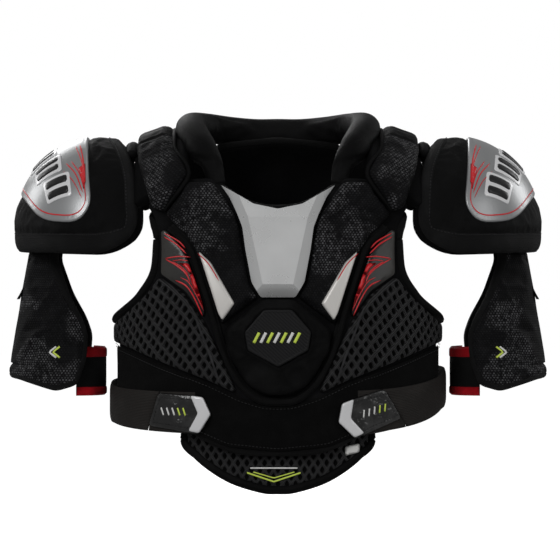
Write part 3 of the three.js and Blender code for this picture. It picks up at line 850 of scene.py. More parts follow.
def stitches(name, lines, surface, d, body, pitch=3.6, length=2.5, r=0.38, mat="thread", **how):
    """Rows of thread stitches along lines on a surface."""
    verts, faces = [], []
    for line, closed in lines:
        at = spaced(line, pitch, closed)
        ahead = np.roll(at, -1, 0) - at
        if not closed:
            at, ahead = at[:-1], ahead[:-1]
        ahead /= np.maximum(np.linalg.norm(ahead, axis=1)[:, None], 1e-9)
        side = np.stack([-ahead[:, 1], ahead[:, 0]], -1)
        for p, a, s in zip(at, ahead, side):
            base = len(verts)
            for along, across, up in (
                (-0.5, 0, -0.1), (-0.3, -r, 0.2), (-0.3, r, 0.2), (0, 0, r * 1.6),
                (0.3, -r, 0.2), (0.3, r, 0.2), (0.5, 0, -0.1), (-0.3, 0, r * 1.3), (0.3, 0, r * 1.3),
            ):
                uv = p + a * along * length + s * across
                verts.append(surface(uv[0], uv[1], (d(uv) if callable(d) else d) + up))
            faces += [tuple(base + k for k in f) for f in (
                (0, 1, 7), (0, 7, 2), (1, 4, 8, 7), (7, 8, 5, 2), (4, 6, 8), (8, 6, 5), (0, 2, 5, 6, 4, 1))]
    return piece(name, np.array(verts), faces, mat, body, **how)


# ------------------------------------------------------------------ camera, light and floor

DISTANCE = 4.0  # camera to the chest, far enough for a level view with little perspective
FRAME_WIDTH = 0.56  # what the camera takes in at that distance

camera = bpy.data.objects.new("camera", bpy.data.cameras.new("camera"))
camera.data.lens = camera.data.sensor_width * DISTANCE / FRAME_WIDTH
camera.location = (0.002, -0.05 - DISTANCE, -0.130)
camera.rotation_euler = (math.pi / 2, 0, 0)
bpy.context.scene.collection.objects.link(camera)
bpy.context.scene.camera = camera


FLOOR_RADIUS, FLOOR_Z = 12, cad_box[0].z - 0.092  # clear of the belly extension when it is pulled out


def glow(mat, strength):
    shader = mat.node_tree.nodes["Principled BSDF"]
    shader.inputs["Emission Color"].default_value = (1, 1, 1, 1)
    shader.inputs["Emission Strength"].default_value = strength


def floor():
    """A plain pale disc under the object."""
    outline = [(FLOOR_RADIUS * math.cos(a), FLOOR_RADIUS * math.sin(a),
                FLOOR_Z) for a in np.linspace(0, 2 * math.pi, 96, endpoint=False)]
    me = bpy.data.meshes.new("floor")
    me.from_pydata(outline, [], [tuple(range(len(outline)))])
    mat = bpy.data.materials.new("floor")
    mat.use_nodes = True
    shader = mat.node_tree.nodes["Principled BSDF"]
    shader.inputs["Base Color"].default_value = (0.9, 0.9, 0.9, 1)
    shader.inputs["Roughness"].default_value = 0.95
    shader.inputs["Specular IOR Level"].default_value = 0.0
    glow(mat, 0.80)
    me.materials.append(mat)
    obj = bpy.data.objects.new("floor", me)
    bpy.context.scene.collection.objects.link(obj)
    obj.visible_diffuse = obj.visible_glossy = False


def light(name, place, aim, size, power):
    lamp = bpy.data.lights.new(name, "AREA")
    lamp.shape, lamp.size, lamp.energy = "SQUARE", size, power
    obj = bpy.data.objects.new(name, lamp)
    obj.location = place
    obj.rotation_euler = (Vector(aim) - Vector(place)).to_track_quat("-Z", "Y").to_euler()
    bpy.context.scene.collection.objects.link(obj)


floor()
light("key", (-1.3, -2.5, 1.2), (0, 0, -0.1), 1.1, 29)
light("fill", (2.0, -2.1, 0.9), (0, 0, -0.12), 1.5, 12)
light("top", (0.2, 0.3, 2.0), (0, 0, 0), 1.2, 2.5)
light("rim_left", (-1.8, 0.9, 0.7), (0, 0, -0.1), 0.8, 9)
light("rim_right", (1.8, 0.9, 0.7), (0, 0, -0.1), 0.8, 9)
light("rear", (-0.8, 2.4, 1.2), (0, 0, -0.1), 1.2, 20)
world = bpy.data.worlds.new("studio")
world.use_nodes = True
nodes = world.node_tree.nodes
nodes["Background"].inputs["Color"].default_value = (1, 1, 1, 1)
seen = nodes.new("ShaderNodeMapRange")  # white where the camera sees it, dimmer as a light
seen.inputs["To Min"].default_value, seen.inputs["To Max"].default_value = 0.27, 1.0
world.node_tree.links.new(nodes.new("ShaderNodeLightPath").outputs["Is Camera Ray"], seen.inputs["Value"])
world.node_tree.links.new(seen.outputs[0], nodes["Background"].inputs["Strength"])
bpy.context.scene.world = world
bpy.context.scene.view_settings.view_transform = "Standard"

# ------------------------------------------------------------------ chest, on the mid-plane

LINER = [(0, -59), (28, -54), (57, -36), (64, -29), (90, -30), (131, -54), (122, -66), (117, -92), (120, -124),
         (131, -142), (147, -157), (175, -182), (175, -249), (108, -271), (50, -296), (0, -301)]
liner_loop = chest_loop(both_halves(LINER), 6, 8)
pad("vest_liner", liner_loop, form, 0.0, 8.0, "lining", "vest", step=6, edge=4, soft=0.15, seam=0.5,
    replaces=("chest_liner",), fill=0.4, slot="knit")
neck = smooth_line(on_chest(both_ends([(0, -59), (28, -54.5), (57, -37), (64, -31)]), 6), 2.5)
cord("neck_binding", form(*neck.T, 4.4), 3.2, "binding", "vest", slot="binding", up=(0, -1, 0))
hem_line = smooth_line(clipped(on_chest(both_ends([(0, -300), (50, -295), (108, -270), (172, -250)]), 6),
                               FRONT_SIDE), 2.5)
cord("vest_bottom_binding", form(*hem_line.T, 4.6), 3.6, "binding", "vest", slot="binding")


def plate():
    """The moulded plate's own facets with their edges eased."""
    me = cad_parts["sternum_plate"].data.copy()
    me.name = "breast_plate"
    me.materials.clear()
    me.materials.append(M["silver"])
    obj = bpy.data.objects.new("breast_plate", me)
    bpy.context.scene.collection.objects.link(obj)
    bevel = obj.modifiers.new("bevel", "BEVEL")
    bevel.width, bevel.segments, bevel.limit_method, bevel.angle_limit = 0.0011, 3, "ANGLE", math.radians(11)
    bevel.harden_normals = True
    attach(obj, "vest")
    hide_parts("sternum_plate")


plate()

STERNUM_PAD = [(0, -148.5), (17, -148.5), (53, -178), (50, -202), (29, -234), (13, -243), (0, -244)]
sternum_loop = chest_loop(both_halves(STERNUM_PAD), 15, 7)
crest_outer = chest_loop(both_halves([(0, -154), (17, -154), (38.5, -179), (35, -202), (0, -221)]), 22, 3)
pad("sternum_pad", sternum_loop, form, 8.4, 21.6, "smooth", "vest", edge=10, soft=0.3, step=2.6,
    grooves=[(ring(crest_outer), 1.5, 1.6)], puff=2.0, replaces=True, fill=0.6, slot="foam")
CREST = [(0, -159), (14, -159), (33, -181), (30, -199), (0, -215.5)]
crest_loop = chest_loop(both_halves(CREST), 24, 2)


def hatch(u, v, dist):
    """Fine diagonal ribs inside a plain border."""
    ribs = 0.45 * np.sin((u + v) * 2 * math.pi / 3.6) * (dist > 2.4)
    return np.where(dist < 2.2, 0.5, 0) + ribs


pad("sternum_crest", crest_loop, form, 21.8, 24.3, "rubber", "vest", step=0.9, edge=1.2, soft=0,
    relief=hatch, rings=(0.5, 1.2), replaces=True, slot="hard_plastic")
for k in range(7):
    x = -21.5 + 6.6 * k
    points = [(x - 2.0, -191.5), (x + 3.2, -181.5)]
    ribbon(f"crest_bar_{k}", points, 2.9, form, 24.4, "white" if k % 2 else "lime", "vest",
           lambda p: on_chest(p, 24),
           taper=False, thick=0.7)

LOOP = [(0, -254), (14, -253.5), (38, -246), (67, -232), (112, -215), (150, -199), (175, -190), (175, -246),
        (108, -269), (50, -294), (0, -299)]
loop_loop = chest_loop(both_halves(LOOP), 10, 4)
pad("loop_panel", loop_loop, form, 8.0, 10.0, "loop", "vest", step=4, edge=1.6, soft=0.25, rings=(0.7, 1.6),
    replaces=True, fill=0.3, slot="loop")
stitches("loop_panel_stitches", [(offset(spaced(loop_loop, 2.0), 3.0), True)], form, 9.9, "vest")

SHIELD = [(0, -249.5), (20, -246.5), (41, -227), (56, -196), (66, -160), (74.5, -134), (86, -101), (95, -89),
          (108, -78)]
shield = smooth_line(on_chest(both_ends(SHIELD), 13.4), 2.0)
ribbon("shield_band", shield, 8.5, form, 9.6, "edge", "vest", None, thick=1.0, taper=False)
cord("shield_piping", form(*shield.T, 12.2), 2.6, "binding", "vest", replaces=True, slot="binding")

# ------------------------------------------------------------------ belly extension

EXTENSION = [(0, -258), (80, -258), (89, -275), (87, -290), (71, -306), (45, -322), (16, -331.6), (0, -333)]
extension_loop = offset(spaced(chest_loop(both_halves(EXTENSION), -5, 4), 2.0), -1.6)


def mesh_relief(deep):
    return lambda u, v, dist: -deep * cells(u, v) * ramp(2.0, 4.5, dist)


pad("belly_pad", extension_loop, form, -10.0, -1.8, "mesh", "belly_extension", step=1.7, edge=5, soft=0.1, seam=0.5,
    relief=mesh_relief(2.6), replaces=("extension_pad",), fill=0.5, slot="spacer_mesh")
EXTENSION_EDGE = [(0, -337), (17, -335.7), (47, -326), (73.5, -309), (89.5, -291.5), (92.5, -281), (89.5, -271),
                  (83, -262)]
edge_line = smooth_line(on_chest(both_ends(EXTENSION_EDGE), -5), 2.5)
cord("belly_binding", form(*edge_line.T, -5.6), 4.6, "smooth", "belly_extension", sides=12,
     replaces=("extension_binding",), slot="binding")
for k, (half, high, width) in enumerate(((26, 0, 1.7), (20, 3.6, 1.2))):
    points = [(-4 - half, -320 + high * 0.2), (-4, -328.8 + high), (-4 + half, -320 + high * 0.2)]
    ribbon(f"belly_chevron_{k}", points, width, form, -1.0, "lime", "belly_extension", lambda p: on_chest(p, -3),
           taper=False)
ribbon("belly_bar", [(-27, -315.4), (19, -315.4)], 1.5, form, -1.2, "white", "belly_extension",
       lambda p: on_chest(p, -3), taper=False)
label = chest_loop([(66.5, -294), (81, -291), (81, -300), (66.5, -303.5)], -1, 1)
pad("belly_label", label, form, -1.6, -0.7, "white", "belly_extension", step=2, edge=0.5, soft=0, rings=())

# ------------------------------------------------------------------ back half, on the mid-plane

BACK_LINER = [(0, 14), (56, 9), (92, -6), (98, -38), (134, -62), (124, -74), (119, -96), (122, -122), (140, -148),
              (175, -182), (175, -240), (128, -264), (60, -286), (0, -292)]
back_liner_loop = back_loop(both_halves(BACK_LINER), 6, 8)
pad("back_liner", back_liner_loop, form, 0.0, 8.0, "lining", "back", step=6, edge=4, soft=0.15, seam=0.5,
    replaces=True, fill=0.4, slot="knit")
back_edge = spaced(back_liner_loop, 2.5)
swept("back_binding", form(*back_edge.T, 4.4), lambda s: (3.4, 3.4), "binding", "back", 8, closed=True,
      slot="binding",
      up=(0, -1, 0.001))

SPINE = [(0, -18), (20, -18), (33, -60), (28, -130), (36, -192), (24, -236), (0, -242)]


def spine_relief(u, v, dist):
    """Overlapping moulded segments with a raised border."""
    along = np.mod(v, 38.0) / 38.0
    return np.where(dist > 5, 2.4 * along ** 0.8, 1.2) - 1.2 * np.exp(-(((dist - 5) / 0.9) ** 2))


pad("spine_plate", back_loop(both_halves(SPINE), 11, 8), form, 8.4, 11.8, "hard", "back", step=1.6, edge=2.5,
    soft=0,
    relief=spine_relief, replaces=True, slot="hard_plastic")

# ------------------------------------------------------------------ outlines made once per side

CHEST_PANEL = [(60, -39), (66, -32), (89, -32), (113, -66), (103, -77), (91, -88), (82, -101), (70, -134),
               (62, -160),
               (57, -174), (20.5, -147), (29.5, -132), (35.5, -100), (38.5, -78), (43.5, -65)]
ACCENT = [(79, -101), (66.5, -112.5), (42.5, -153), (55, -170), (59, -163), (67, -138)]
GRAPHIC = [(111, -80), (116, -80), (115.5, -100), (116, -124), (92, -141), (82, -155), (73, -168), (71.5, -161),
           (79, -136), (90.5, -104), (99, -92)]
MESH = [(118, -127), (130, -143), (146, -158), (175, -184), (175, -188), (150, -197), (112, -213), (67, -230),
        (41, -242), (47, -226), (61, -196), (73, -172), (84, -157), (94, -143)]
ARMHOLE = [(128, -66), (122, -80), (121.5, -94), (124.5, -120), (135.5, -139), (150, -154), (166, -169)]
COLLAR = [(66, -88, -14), (75, -74, 0), (84, -46, 15), (87, -14, 23), (84, 16, 27), (71, 42, 27), (48, 59, 24),
          (24, 66.7, 22), (0, 67, 22)]
BLADE = [(44, -20), (86, -22), (95, -42), (126, -66), (119, -78), (114, -96), (117, -120), (104, -138), (60, -150),
         (39, -130), (42, -62)]
BACK_MESH = [(45, -156), (104, -144), (121, -130), (138, -151), (146, -172), (137, -206), (122, -254), (70, -276),
             (38, -250), (45, -194)]
TAB = [(0, -2), (8, 16), (52, 19), (62, -14), (12, -22)]
CHEVRON = [(0.8, -2), (8.6, 15), (21, 16.6), (13.5, -1), (23, -18.6), (12.4, -20.6)]
TAB_AT = {"left": (58, -268, 14), "right": (65, -260, 0)}
STRAP = {  # in y and z: its upper edge, then its lower edge
    "left": (((-130, -241), (-108, -237), (-50, -224), (0, -219), (76, -216)),
             ((-130, -290), (-108, -278), (-50, -259), (0, -253), (76, -250))),
    "right": (((-130, -241), (-108, -240), (-50, -236), (0, -233), (76, -228)),
              ((-130, -283), (-108, -280), (-50, -273), (0, -270), (76, -264))),
}
CAP_OUTLINE = [(155, 16), (300, 16), (300, -100), (172, -103), (140, -84), (140, -22)]
BADGE = [(193, 40), (187, -30), (184, -56), (198, -74), (236, -71), (262, -40), (300, -40), (300, 40)]
GUARD = [(222, -95), (225, -109), (210, -143), (195, -168), (189, -185), (191, -210), (200, -235), (223, -241),
         (266, -229), (290, -229), (290, -95)]


def over(x, degrees):
    """A point on the shoulder at x and an angle up from the front, as u and v."""
    return float(u_of(x / 202)), BASE_Z + WRAP * math.radians(degrees)


def seen_half(outline, radius, surface_edge, to_map):
    """The part of a front-view outline that lies on a round form, closed by its mirror image behind."""
    p = spaced(rounded(outline, radius), 1.5)
    on = surface_edge(p)
    start = int(np.argmax(on & ~np.roll(on, 1)))
    p, on = np.roll(p, -start, 0), np.roll(on, -start)
    count = int(np.argmin(on)) if not on.all() else len(on)
    half = to_map(p[:count])
    half[0, 1] = half[-1, 1] = 0
    return np.vstack([half, (half * (1, -1))[1:-1][::-1]])


def on_cap(p):
    return np.hypot(*cap_share(p)) < 1


def arm_map(points, d=8.0, side=-1):
    """Points seen from the front as u and z on the arm grown by d."""
    p = np.asarray(points, float)
    middle, r = arm_at(p[:, 1], d)
    c = (p[:, 0] - middle) / r
    return np.stack([side * ARM_R * np.arccos(np.clip(c, -1, 1)), p[:, 1]], -1)


def on_arm(p):
    middle, r = arm_at(p[:, 1], 8)
    return (p[:, 0] - middle) / r < 1


def guard_loop(outline, radius):
    """The guard is open at the back of the arm, so its flat loop is the front edge, then the same behind."""
    p = spaced(rounded(outline, radius), 1.5)
    on = on_arm(p)
    start = int(np.argmax(on & ~np.roll(on, 1)))
    p, on = np.roll(p, -start, 0), np.roll(on, -start)
    half = arm_map(p[: int(np.argmin(on))])
    half[0, 0] = half[-1, 0] = 0
    return np.vstack([half, (half * (-1, 1))[1:-1][::-1]])


cap_loop = seen_half(CAP_OUTLINE, 16, on_cap, cap_map)
badge_loop = seen_half(BADGE, 14, on_cap, cap_map)
plain = lambda p: np.asarray(p, float)


def tab_points(points, side):
    x, z, tilt = TAB_AT[side]
    c, s = math.cos(math.radians(tilt)), math.sin(math.radians(tilt))
    return [(x + a * c - b * s, z + a * s + b * c) for a, b in points]


def vest_side(side, flip):
    put = {"mirror": flip}
    panel, accent = chest_loop(CHEST_PANEL, 15, 3), chest_loop(ACCENT, 19, 1.5)
    pad(f"chest_panel_{side}", panel, form, 8.4, 17.6, "printed", "vest", step=2.6, edge=8, soft=0.35, puff=2.0,
        slack=0.03,
        hold=lambda uv, dist: inside(uv, offset(spaced(accent, 3), -2)),
        grooves=[(smooth_line(on_chest([(60, -42), (78, -62), (104, -74)], 18), 2), 1.6, 1.7)],
        replaces=True, fill=0.55, slot="printed", **put)
    pad(f"accent_{side}", accent, form, 17.0, 20.4, "pearl", "vest", step=1.8, edge=3.0, soft=0,
        rings=(0.6, 1.4, 2.4),
        replaces=True, slot="pearl_plastic", **put)
    upper = smooth_line([(77.5, -102.8), (66.6, -113.5), (56.5, -130)], 2)
    ribbon(f"accent_line_{side}", offset(upper, 1.3, False), 1.1, form, 20.0, "red", "vest",
           lambda p: on_chest(p, 19), **put)
    graphic = chest_loop(GRAPHIC, 10, 2)
    pad(f"graphic_panel_{side}", graphic, form, 8.4, 10.9, "graphic", "vest", step=3, edge=2.0, soft=0,
        rings=(0.7, 1.5),
        replaces=True, slot="gloss_film", **put)
    print_on = lambda p: on_chest(p, 11)
    for k, (points, width) in enumerate((
        ([(112, -83.5), (98, -91.5), (91, -98.5)], 1.3),
        ([(112.5, -87), (100, -94.5), (90, -104)], 1.3),
        ([(86, -107.5), (97, -106.5), (111, -108.5)], 1.3),
        ([(111, -109), (99, -116), (90, -124), (86, -133)], 1.3),
        ([(88, -111), (96, -110), (104, -111)], 0.9),
        ([(104, -111.5), (95, -117), (87.5, -125)], 0.9),
        ([(101, -130), (91, -135), (83, -146), (74, -165)], 1.3),
        ([(96, -127), (88, -132), (80, -145), (73, -160)], 0.9),
    )):
        ribbon(f"red_stripe_{side}_{k}", smooth_line(points, 2), width, form, 11.15, "red", "vest", print_on,
               thick=0.4, **put)
    flame = chest_loop([(88, -113.5), (98.5, -112.8), (91, -117.5), (86.5, -125), (85, -133), (79, -146),
                        (72.5, -160),
                        (76, -146), (82, -128)], 11, 1)
    pad(f"red_flame_{side}", flame, form, 10.7, 11.35, "red", "vest", step=2.5, edge=0.5, soft=0, rings=(),
        seam=0.9, **put)
    mesh = chest_loop(MESH, 12, 3)
    pad(f"mesh_panel_{side}", mesh, form, 8.4, 15.0, "mesh", "vest", step=1.5, edge=6, soft=0.2,
        relief=mesh_relief(3.0), replaces=True, fill=0.5, slot="spacer_mesh", **put)
    seam_line = smooth_line(on_chest([(84.5, -157), (76, -180), (66, -206), (58, -230)], 15), 2)
    cord(f"mesh_seam_{side}", form(*seam_line.T, 15.0), 1.0, "thread", "vest", slot="binding", **put)
    armhole = smooth_line(on_chest([(x - 1.3, z) for x, z in ARMHOLE], 6), 2)
    cord(f"armhole_binding_{side}", form(*armhole.T, 4.6), 4.5, "binding", "vest", sides=10,
         replaces=True, slot="binding", **put)

    clavicle_low = on_chest([(138.5, -20), (125, -60), (114, -64), (88.5, -26), (103, 0)], 16)
    shoulder = rounded([over(138.5, 146), over(138.8, 62), *clavicle_low, over(103, 62), over(103, 146)], 6)
    seams = [(np.array([over(90, a), over(145, a)]), deep, 2.0) for a, deep in ((63, 1.6), (88, 3.0), (120, 3.0))]
    shoulder = pad(f"shoulder_pad_{side}", shoulder, form, 12.4, 21.6, "printed", "vest", step=2.6, edge=8,
                   soft=0.35,
                   seed=2.0, puff=2.0, slack=0.02, grooves=seams, fill=0.55,
                    replaces=(f"clavicle_pad_{side}", f"shoulder_top_pad_{side}"),
                   slot="printed", **put)
    two_tone(shoulder, "smooth", over(0, 63)[1])
    welt = [on_chest([(113, -63)], 16)[0], on_chest([(88.8, -26.5)], 16)[0], on_chest([(102.3, -2)], 16)[0]]
    welt = smooth_line([*welt, over(102.5, 62), over(102.5, 100), over(102.5, 142)], 2)
    cord(f"clavicle_welt_{side}", form(*welt.T, 14.6), 2.4, "smooth", "vest", slot="binding", **put)
    front_seam, back_seam = on_chest([(88, -27), (141.5, -58)], 6), on_back([(88, -27), (141.5, -58)], 6)
    arch = rounded([front_seam[0], front_seam[1], back_seam[0], back_seam[1]], 6)
    pad(f"shoulder_arch_{side}", arch, form, 0.0, 12.2, "foam", "vest", step=4, edge=4, soft=0.3, seam=0.3,
        replaces=True, fill=0.5, slot="foam", **put)
    way = -1 if flip else 1
    bridge = rounded([over(138.5, 60), over(150.5, 60), over(150.5, 120), over(138.5, 120)], 3)
    pad(f"cap_bridge_{side}", bridge, form, 12.4, 19.0, "foam", "vest", step=2.5, edge=4, soft=0.3,
        rings=(0.7, 1.8),
        replaces=True, fill=0.5, slot="foam",
        bends=("vest", f"cap_{side}", (way * 0.1395, 0, 0.012), (way * 0.1505, 0, 0.012)), **put)


def back_side(side, flip):
    put = {"mirror": flip}
    blade = back_loop(BLADE, 14, 5)
    quilting = [(smooth_line(on_back(line, 18), 2), 1.8, 2.0) for line in
                ([(46, -54), (76, -58), (104, -62)], [(42, -92), (78, -96), (112, -98)])]
    pad(f"blade_pad_{side}", blade, form, 8.4, 18.0, "printed", "back", step=3, edge=8, soft=0.4, seed=4.0,
        puff=3.0,
        grooves=quilting, replaces=True, fill=0.55, slot="printed", **put)
    mesh = back_loop(BACK_MESH, 11, 4)
    pad(f"back_mesh_{side}", mesh, form, 8.4, 13.5, "mesh", "back", step=1.8, edge=5, soft=0.2,
        relief=mesh_relief(2.6), replaces=True, fill=0.4, slot="spacer_mesh", **put)


def waist(side, flip):
    put = {"mirror": flip}
    body = f"tab_{side}"
    upper, lower = (np.array(rows, float) for rows in STRAP[side])

    def edge(rows, w):
        z = np.interp(around(w, -245, 11.7)[:, 1], rows[:, 0], rows[:, 1])
        p = around(w, z, 10.25)
        return p, around(w, z, 11.25) - p

    reach = np.linspace(SIDE_U * 0.3, SIDE_U * 1.6, 2000)
    x, y, _ = around(reach, -245, 11.7).T
    end = reach[np.argmax(x > (82 if flip else 79))]
    back_end = reach[np.argmax(y > 75)]
    way = -1 if flip else 1
    # the strap folds where the tab does, along the tab's outer edge
    (x_top, z_top), (x_low, z_low) = tab_points([(52, 19), (62, -14)], side)
    lean = (x_low - x_top) / (z_low - z_top)

    def fold(rows, gap):
        z = np.interp(-105.0, rows[:, 0], rows[:, 1])
        return reach[np.argmax(x > x_top + lean * (z - z_top) + gap)]

    whole = [np.linspace(fold(rows, 1.0 if flip else 0.2), back_end, 74) for rows in (lower, upper)]
    thick = np.full((74, 1), 1.7)
    thick[:3, 0] = 0.7, 1.0, 1.4  # pressed thin at the fold, so that the tab can turn over it
    strip(f"waist_strap_{side}", edge(lower, whole[0]), edge(upper, whole[1]), thick, "elastic", "vest", across=14,
          replaces=True, slot="elastic",
          bends=("vest", "back", (way * 0.17, -0.052, -0.245), (way * 0.17, 0.052, -0.245)), **put)
    under = [np.linspace(end, fold(rows, 0.0 if flip else -0.5), 20) for rows in (lower, upper)]
    strip(f"waist_strap_end_{side}", edge(lower, under[0]), edge(upper, under[1]), 1.5, "elastic", body, across=14,
          slot="elastic", **put)
    tab = chest_loop(tab_points(TAB, side), 12, 3)
    tab_seam = offset(spaced(tab, 2.0), 4.2)
    pad(f"waist_tab_{side}", tab, form, 11.6, 14.3, "film", body, step=2.2, edge=1.4, soft=0.15, rings=(0.6, 1.3),
        grooves=[(ring(tab_seam), 0.5, 0.8)],
        replaces=True, fill=0.5, slot="gloss_film", **put)
    stitches(f"waist_tab_stitches_{side}", [(tab_seam, True)], form, 14.1, body, r=0.3, mat="thread", **put)
    chevron = chest_loop(tab_points(CHEVRON, side), 14, 1)
    pad(f"tab_chevron_{side}", chevron, form, 14.2, 15.9, "bright", body, step=1.6, edge=0.9, soft=0, rings=(0.5,),
        replaces=True, slot="silver_plastic", **put)
    for k in range(5):
        x = 27 + 5.4 * k
        ribbon(f"tab_bar_{side}_{k}", tab_points([(x - 1.0, -3.6), (x + 1.4, 3.6)], side), 1.5, form, 14.5,
               "lime" if k in ((3, 4) if not flip else (0, 1)) else "white", body, lambda p: on_chest(p, 14.3),
               taper=False, thick=0.2, **put)


def cap_side(side, flip):
    put = {"mirror": flip}
    body = f"cap_{side}"
    top_at = lambda inset: -9 + 9 * float(crown(np.array([max(inset, 0.0)]), 5)[0])
    pad(f"cap_cover_{side}", cap_loop, cap, -9.0, 0.0, "smooth", body, step=4, edge=5, soft=0.4, seed=5.0,
        puff=1.8, slack=0.03,
        hold=lambda uv, dist: (dist < 11) | inside(uv, offset(spaced(badge_loop, 3), -4)),
        rings=(0.7, 1.8, 3.2, 5), replaces=True, fill=0.6, slot="foam", **put)
    pad(f"cap_dome_{side}", offset(spaced(cap_loop, 2), 1.0), cap, -12.0, -9.5, "hard", body, step=6, edge=1.5,
        soft=0, rings=(0.7,),
        replaces=True, slot="hard_plastic", **put)
    pad(f"cap_liner_{side}", offset(spaced(cap_loop, 2), 1.0), cap, -20.4, -12.4, "lining", body, step=5, edge=4,
        soft=0.2,
        replaces=True, fill=0.4, slot="knit", **put)
    hem(f"cap_rim_{side}", cap_loop, cap, top_at, -20.6, 10.0, "edge", body, thick=0.7, slot="binding", **put)
    stitches(f"cap_rim_stitches_{side}", [(offset(spaced(cap_loop, 2), 8.6), True)], cap, 1.0, body, **put)

    pad(f"cap_badge_{side}", badge_loop, cap, 0.2, 3.4, "badge", body, step=2.2, edge=2.6, soft=0,
        rings=(0.6, 1.4, 2.4),
        grooves=[(ring(offset(spaced(badge_loop, 1.5), 4.6)), 0.7, 0.8)],
        replaces=True, slot="silver_plastic", **put)
    line = offset(spaced(badge_loop, 1.5), 6.6)
    low = np.hypot(*line.T) > 50
    start = int(np.argmax(low & ~np.roll(low, 1)))
    low_line = np.roll(line, -start, 0)[: int(low.sum())]
    ribbon(f"badge_pinstripe_{side}", low_line, 1.3, cap, 3.4, "red", body, plain, thick=0.3, **put)
    for k, b in enumerate((-87, -52, -17, 17, 52, 87)):
        a = 68 - 16 * (b / 95) ** 2

        def block(middle, half, low, high):
            return [(a + low, b + middle - half + 0.25 * low), (a + high, b + middle - half + 0.25 * high),
                    (a + high, b + middle + half + 0.25 * high), (a + low, b + middle + half + 0.25 * low)]

        pad(f"badge_block_{side}_{k}", rounded(block(0, 14.5, -18, 18), 3), cap, 3.0, 4.4, "bright", body,
            step=2.5, edge=1.2,
            soft=0, rings=(0.6, 1.2), **put)
        for n, middle in enumerate((-6.4, 6.4)):
            pad(f"badge_inlay_{side}_{k}_{n}", rounded(block(middle, 4.4, -14.5, 14.5), 1.6), cap, 4.2, 5.2,
                "dark", body,
                step=2.5, edge=0.9, soft=0, rings=(0.6,), **put)
    for end, sign in (("front", 1), ("rear", -1)):
        for k, (points, width) in enumerate((
            ([(210, -16), (200, -27), (192.5, -45)], 1.4), ([(205, -14), (197, -25), (191.5, -40)], 1.2),
            ([(198, 3), (193.5, -12), (190.5, -34)], 1.5), ([(202, 1), (197, -9), (192, -22)], 1.1),
            ([(212, -24), (202, -34), (193.5, -50)], 1.0),
        )):
            line = cap_map(smooth_line(points, 2)) * (1, sign)
            ribbon(f"badge_flame_{side}_{end}_{k}", line, width, cap, 3.4, "red", body, plain, thick=0.3, **put)
        fill = cap_map([(197.5, -21), (191, -16), (190, -34), (192, -42)]) * (1, sign)
        pad(f"badge_flame_fill_{side}_{end}", fill, cap, 3.42, 3.62, "red", body, step=2.5, edge=0.5, soft=0,
            rings=(), seam=0.9, **put)


MARK_AT = (225, -202)  # the printed mark on a bicep guard


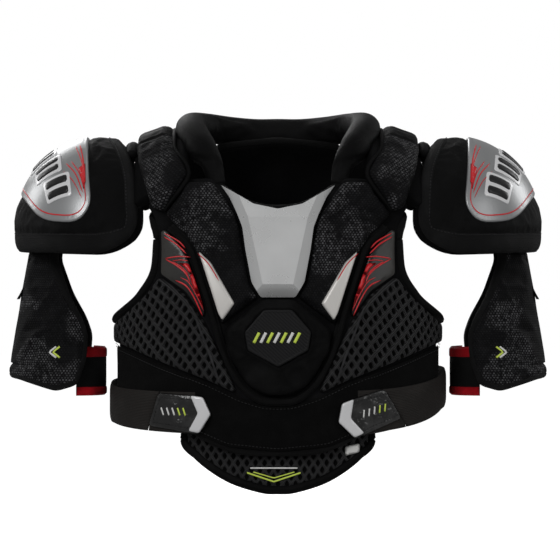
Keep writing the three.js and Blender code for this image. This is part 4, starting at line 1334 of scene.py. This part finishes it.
def guard_side(side, flip):
    put = {"mirror": flip}
    body = f"guard_{side}"
    loop = guard_loop(GUARD, 6)
    top_at = lambda inset: 4.4 + 6.4 * float(crown(np.array([max(inset, 0.0)]), 6)[0])
    pad(f"bicep_pad_{side}", loop, arm, 4.4, 10.8, "printed", body, step=3, edge=6, soft=0.4, seed=6.0, puff=2.0,
        hold=lambda uv, dist: (dist < 7) | (np.hypot(*(uv - arm_map([MARK_AT], 11)[0]).T) < 13),
        grooves=[(np.array([(u, z) for u, z in zip(np.linspace(-100, 100, 60), np.full(60, -215.0))]), 1.6, 1.6)],
        replaces=True, fill=0.5, slot="printed", **put)
    pad(f"bicep_liner_{side}", offset(spaced(loop, 2), 2.0), arm, 0.2, 4.1, "lining", body, step=5, edge=2,
        soft=0.1,
        replaces=True, fill=0.4, slot="knit", **put)
    hem(f"bicep_edge_{side}", loop, arm, top_at, 0.0, 5.5, "edge", body, thick=0.5, slot="binding", **put)
    for k, (tip, color) in enumerate(((0, "lime"), (3.6, "white"))):
        back = (-7, -3.4)[k]
        points = spaced([(back, 5.5), (tip, 0), (back, -5.5)], 1.2, False)
        line = arm_map([(MARK_AT[0] + x, MARK_AT[1] + z) for x, z in points], 11)
        ribbon(f"bicep_mark_{side}_{k}", line, 1.9, arm, 10.9, color, body, plain, taper=False, thick=0.3, **put)

    def cuff_line(z, degrees, radius):
        cx = arm_at(-245, 0)[0]
        stations = np.radians(degrees)
        p = np.stack([cx + radius * np.cos(stations), radius * np.sin(stations), np.full(len(stations), z)], -1)
        n = np.stack([np.cos(stations), np.sin(stations), 0 * stations], -1)
        return p, n

    degrees = np.linspace(116, 252, 46)
    radius = np.interp(degrees, (116, 123, 131, 143, 160, 180, 200, 216, 230, 240, 252),
                       (60.5, 56, 50, 44, 40.5, 39.4, 40.5, 42.5, 43.6, 43.2, 42.4))
    strip(f"arm_cuff_{side}", cuff_line(-244.5, degrees, radius), cuff_line(-197.5, degrees, radius), 2.1,
          "webbing", body,
          across=16, replaces=True, slot="elastic", **put)
    for k, (a, b) in enumerate(((-209, -197), (-246, -236))):
        strip(f"arm_cuff_trim_{side}_{k}", cuff_line(a, degrees, radius - 0.3),
              cuff_line(b, degrees, radius - 0.3), 3.0, "red_tape",
              body, across=5, **put)
    tab = [(192, -198), (222, -197), (226, -214), (222, -231), (192, -232)]
    loop = arm_map(rounded(tab, 4), 12, side=1)
    pad(f"arm_tab_{side}", loop, arm, 11.5, 14.0, "webbing", f"arm_tab_{side}", step=3, edge=1.2, soft=0.1,
        rings=(0.7,),
        replaces=True, fill=0.4, slot="elastic", **put)
    stitches(f"arm_tab_stitches_{side}", [(offset(spaced(loop, 2), 3), True)], arm, 13.8, f"arm_tab_{side}", **put)
    z = np.linspace(-82, -149.5, 40)
    lift = 11.7 + 5.0 * np.clip((-132 - z) / 17, 0, 1) ** 2 + 0.5 * np.sin(z / 6)

    def strap_edge(u):
        p = arm(u, z, lift)
        n = arm(u, z, lift + 1) - p
        return p, n

    strip(f"hanger_strap_{side}", strap_edge(-13.0), strap_edge(13.0), 1.7, "webbing", f"hanger_{side}", across=8,
          replaces=True, slot="elastic", **put)


for side, flip in SIDES:
    vest_side(side, flip)
    back_side(side, flip)
    waist(side, flip)
    cap_side(side, flip)
    guard_side(side, flip)

half = [(60, -101, -37), *COLLAR[:-1]]
collar = smooth_line([*half, (0, 67, 22), *[(-x, y, z) for x, y, z in half[::-1]]], 3.0)


def collar_radius(s):
    """A padded roll whose front ends are flattened and tucked behind the chest panels."""
    flat = float(ramp(0.105, 0.0, min(s, 1 - s)))
    return 14.5 * (1 - 0.35 * flat), 14.5 * (1 - 0.66 * flat) + 2.5 * float(ramp(0.3, 0.45, min(s, 1 - s)))


swept("collar", collar, collar_radius, "smooth", "vest", sides=32, replaces=("collar_left", "collar_right"),
      fill=0.7,
      slot="foam", up=(0, 0.75, 0.66), puff=2.0)

# ------------------------------------------------------------------ sizes

low, high = cad_box
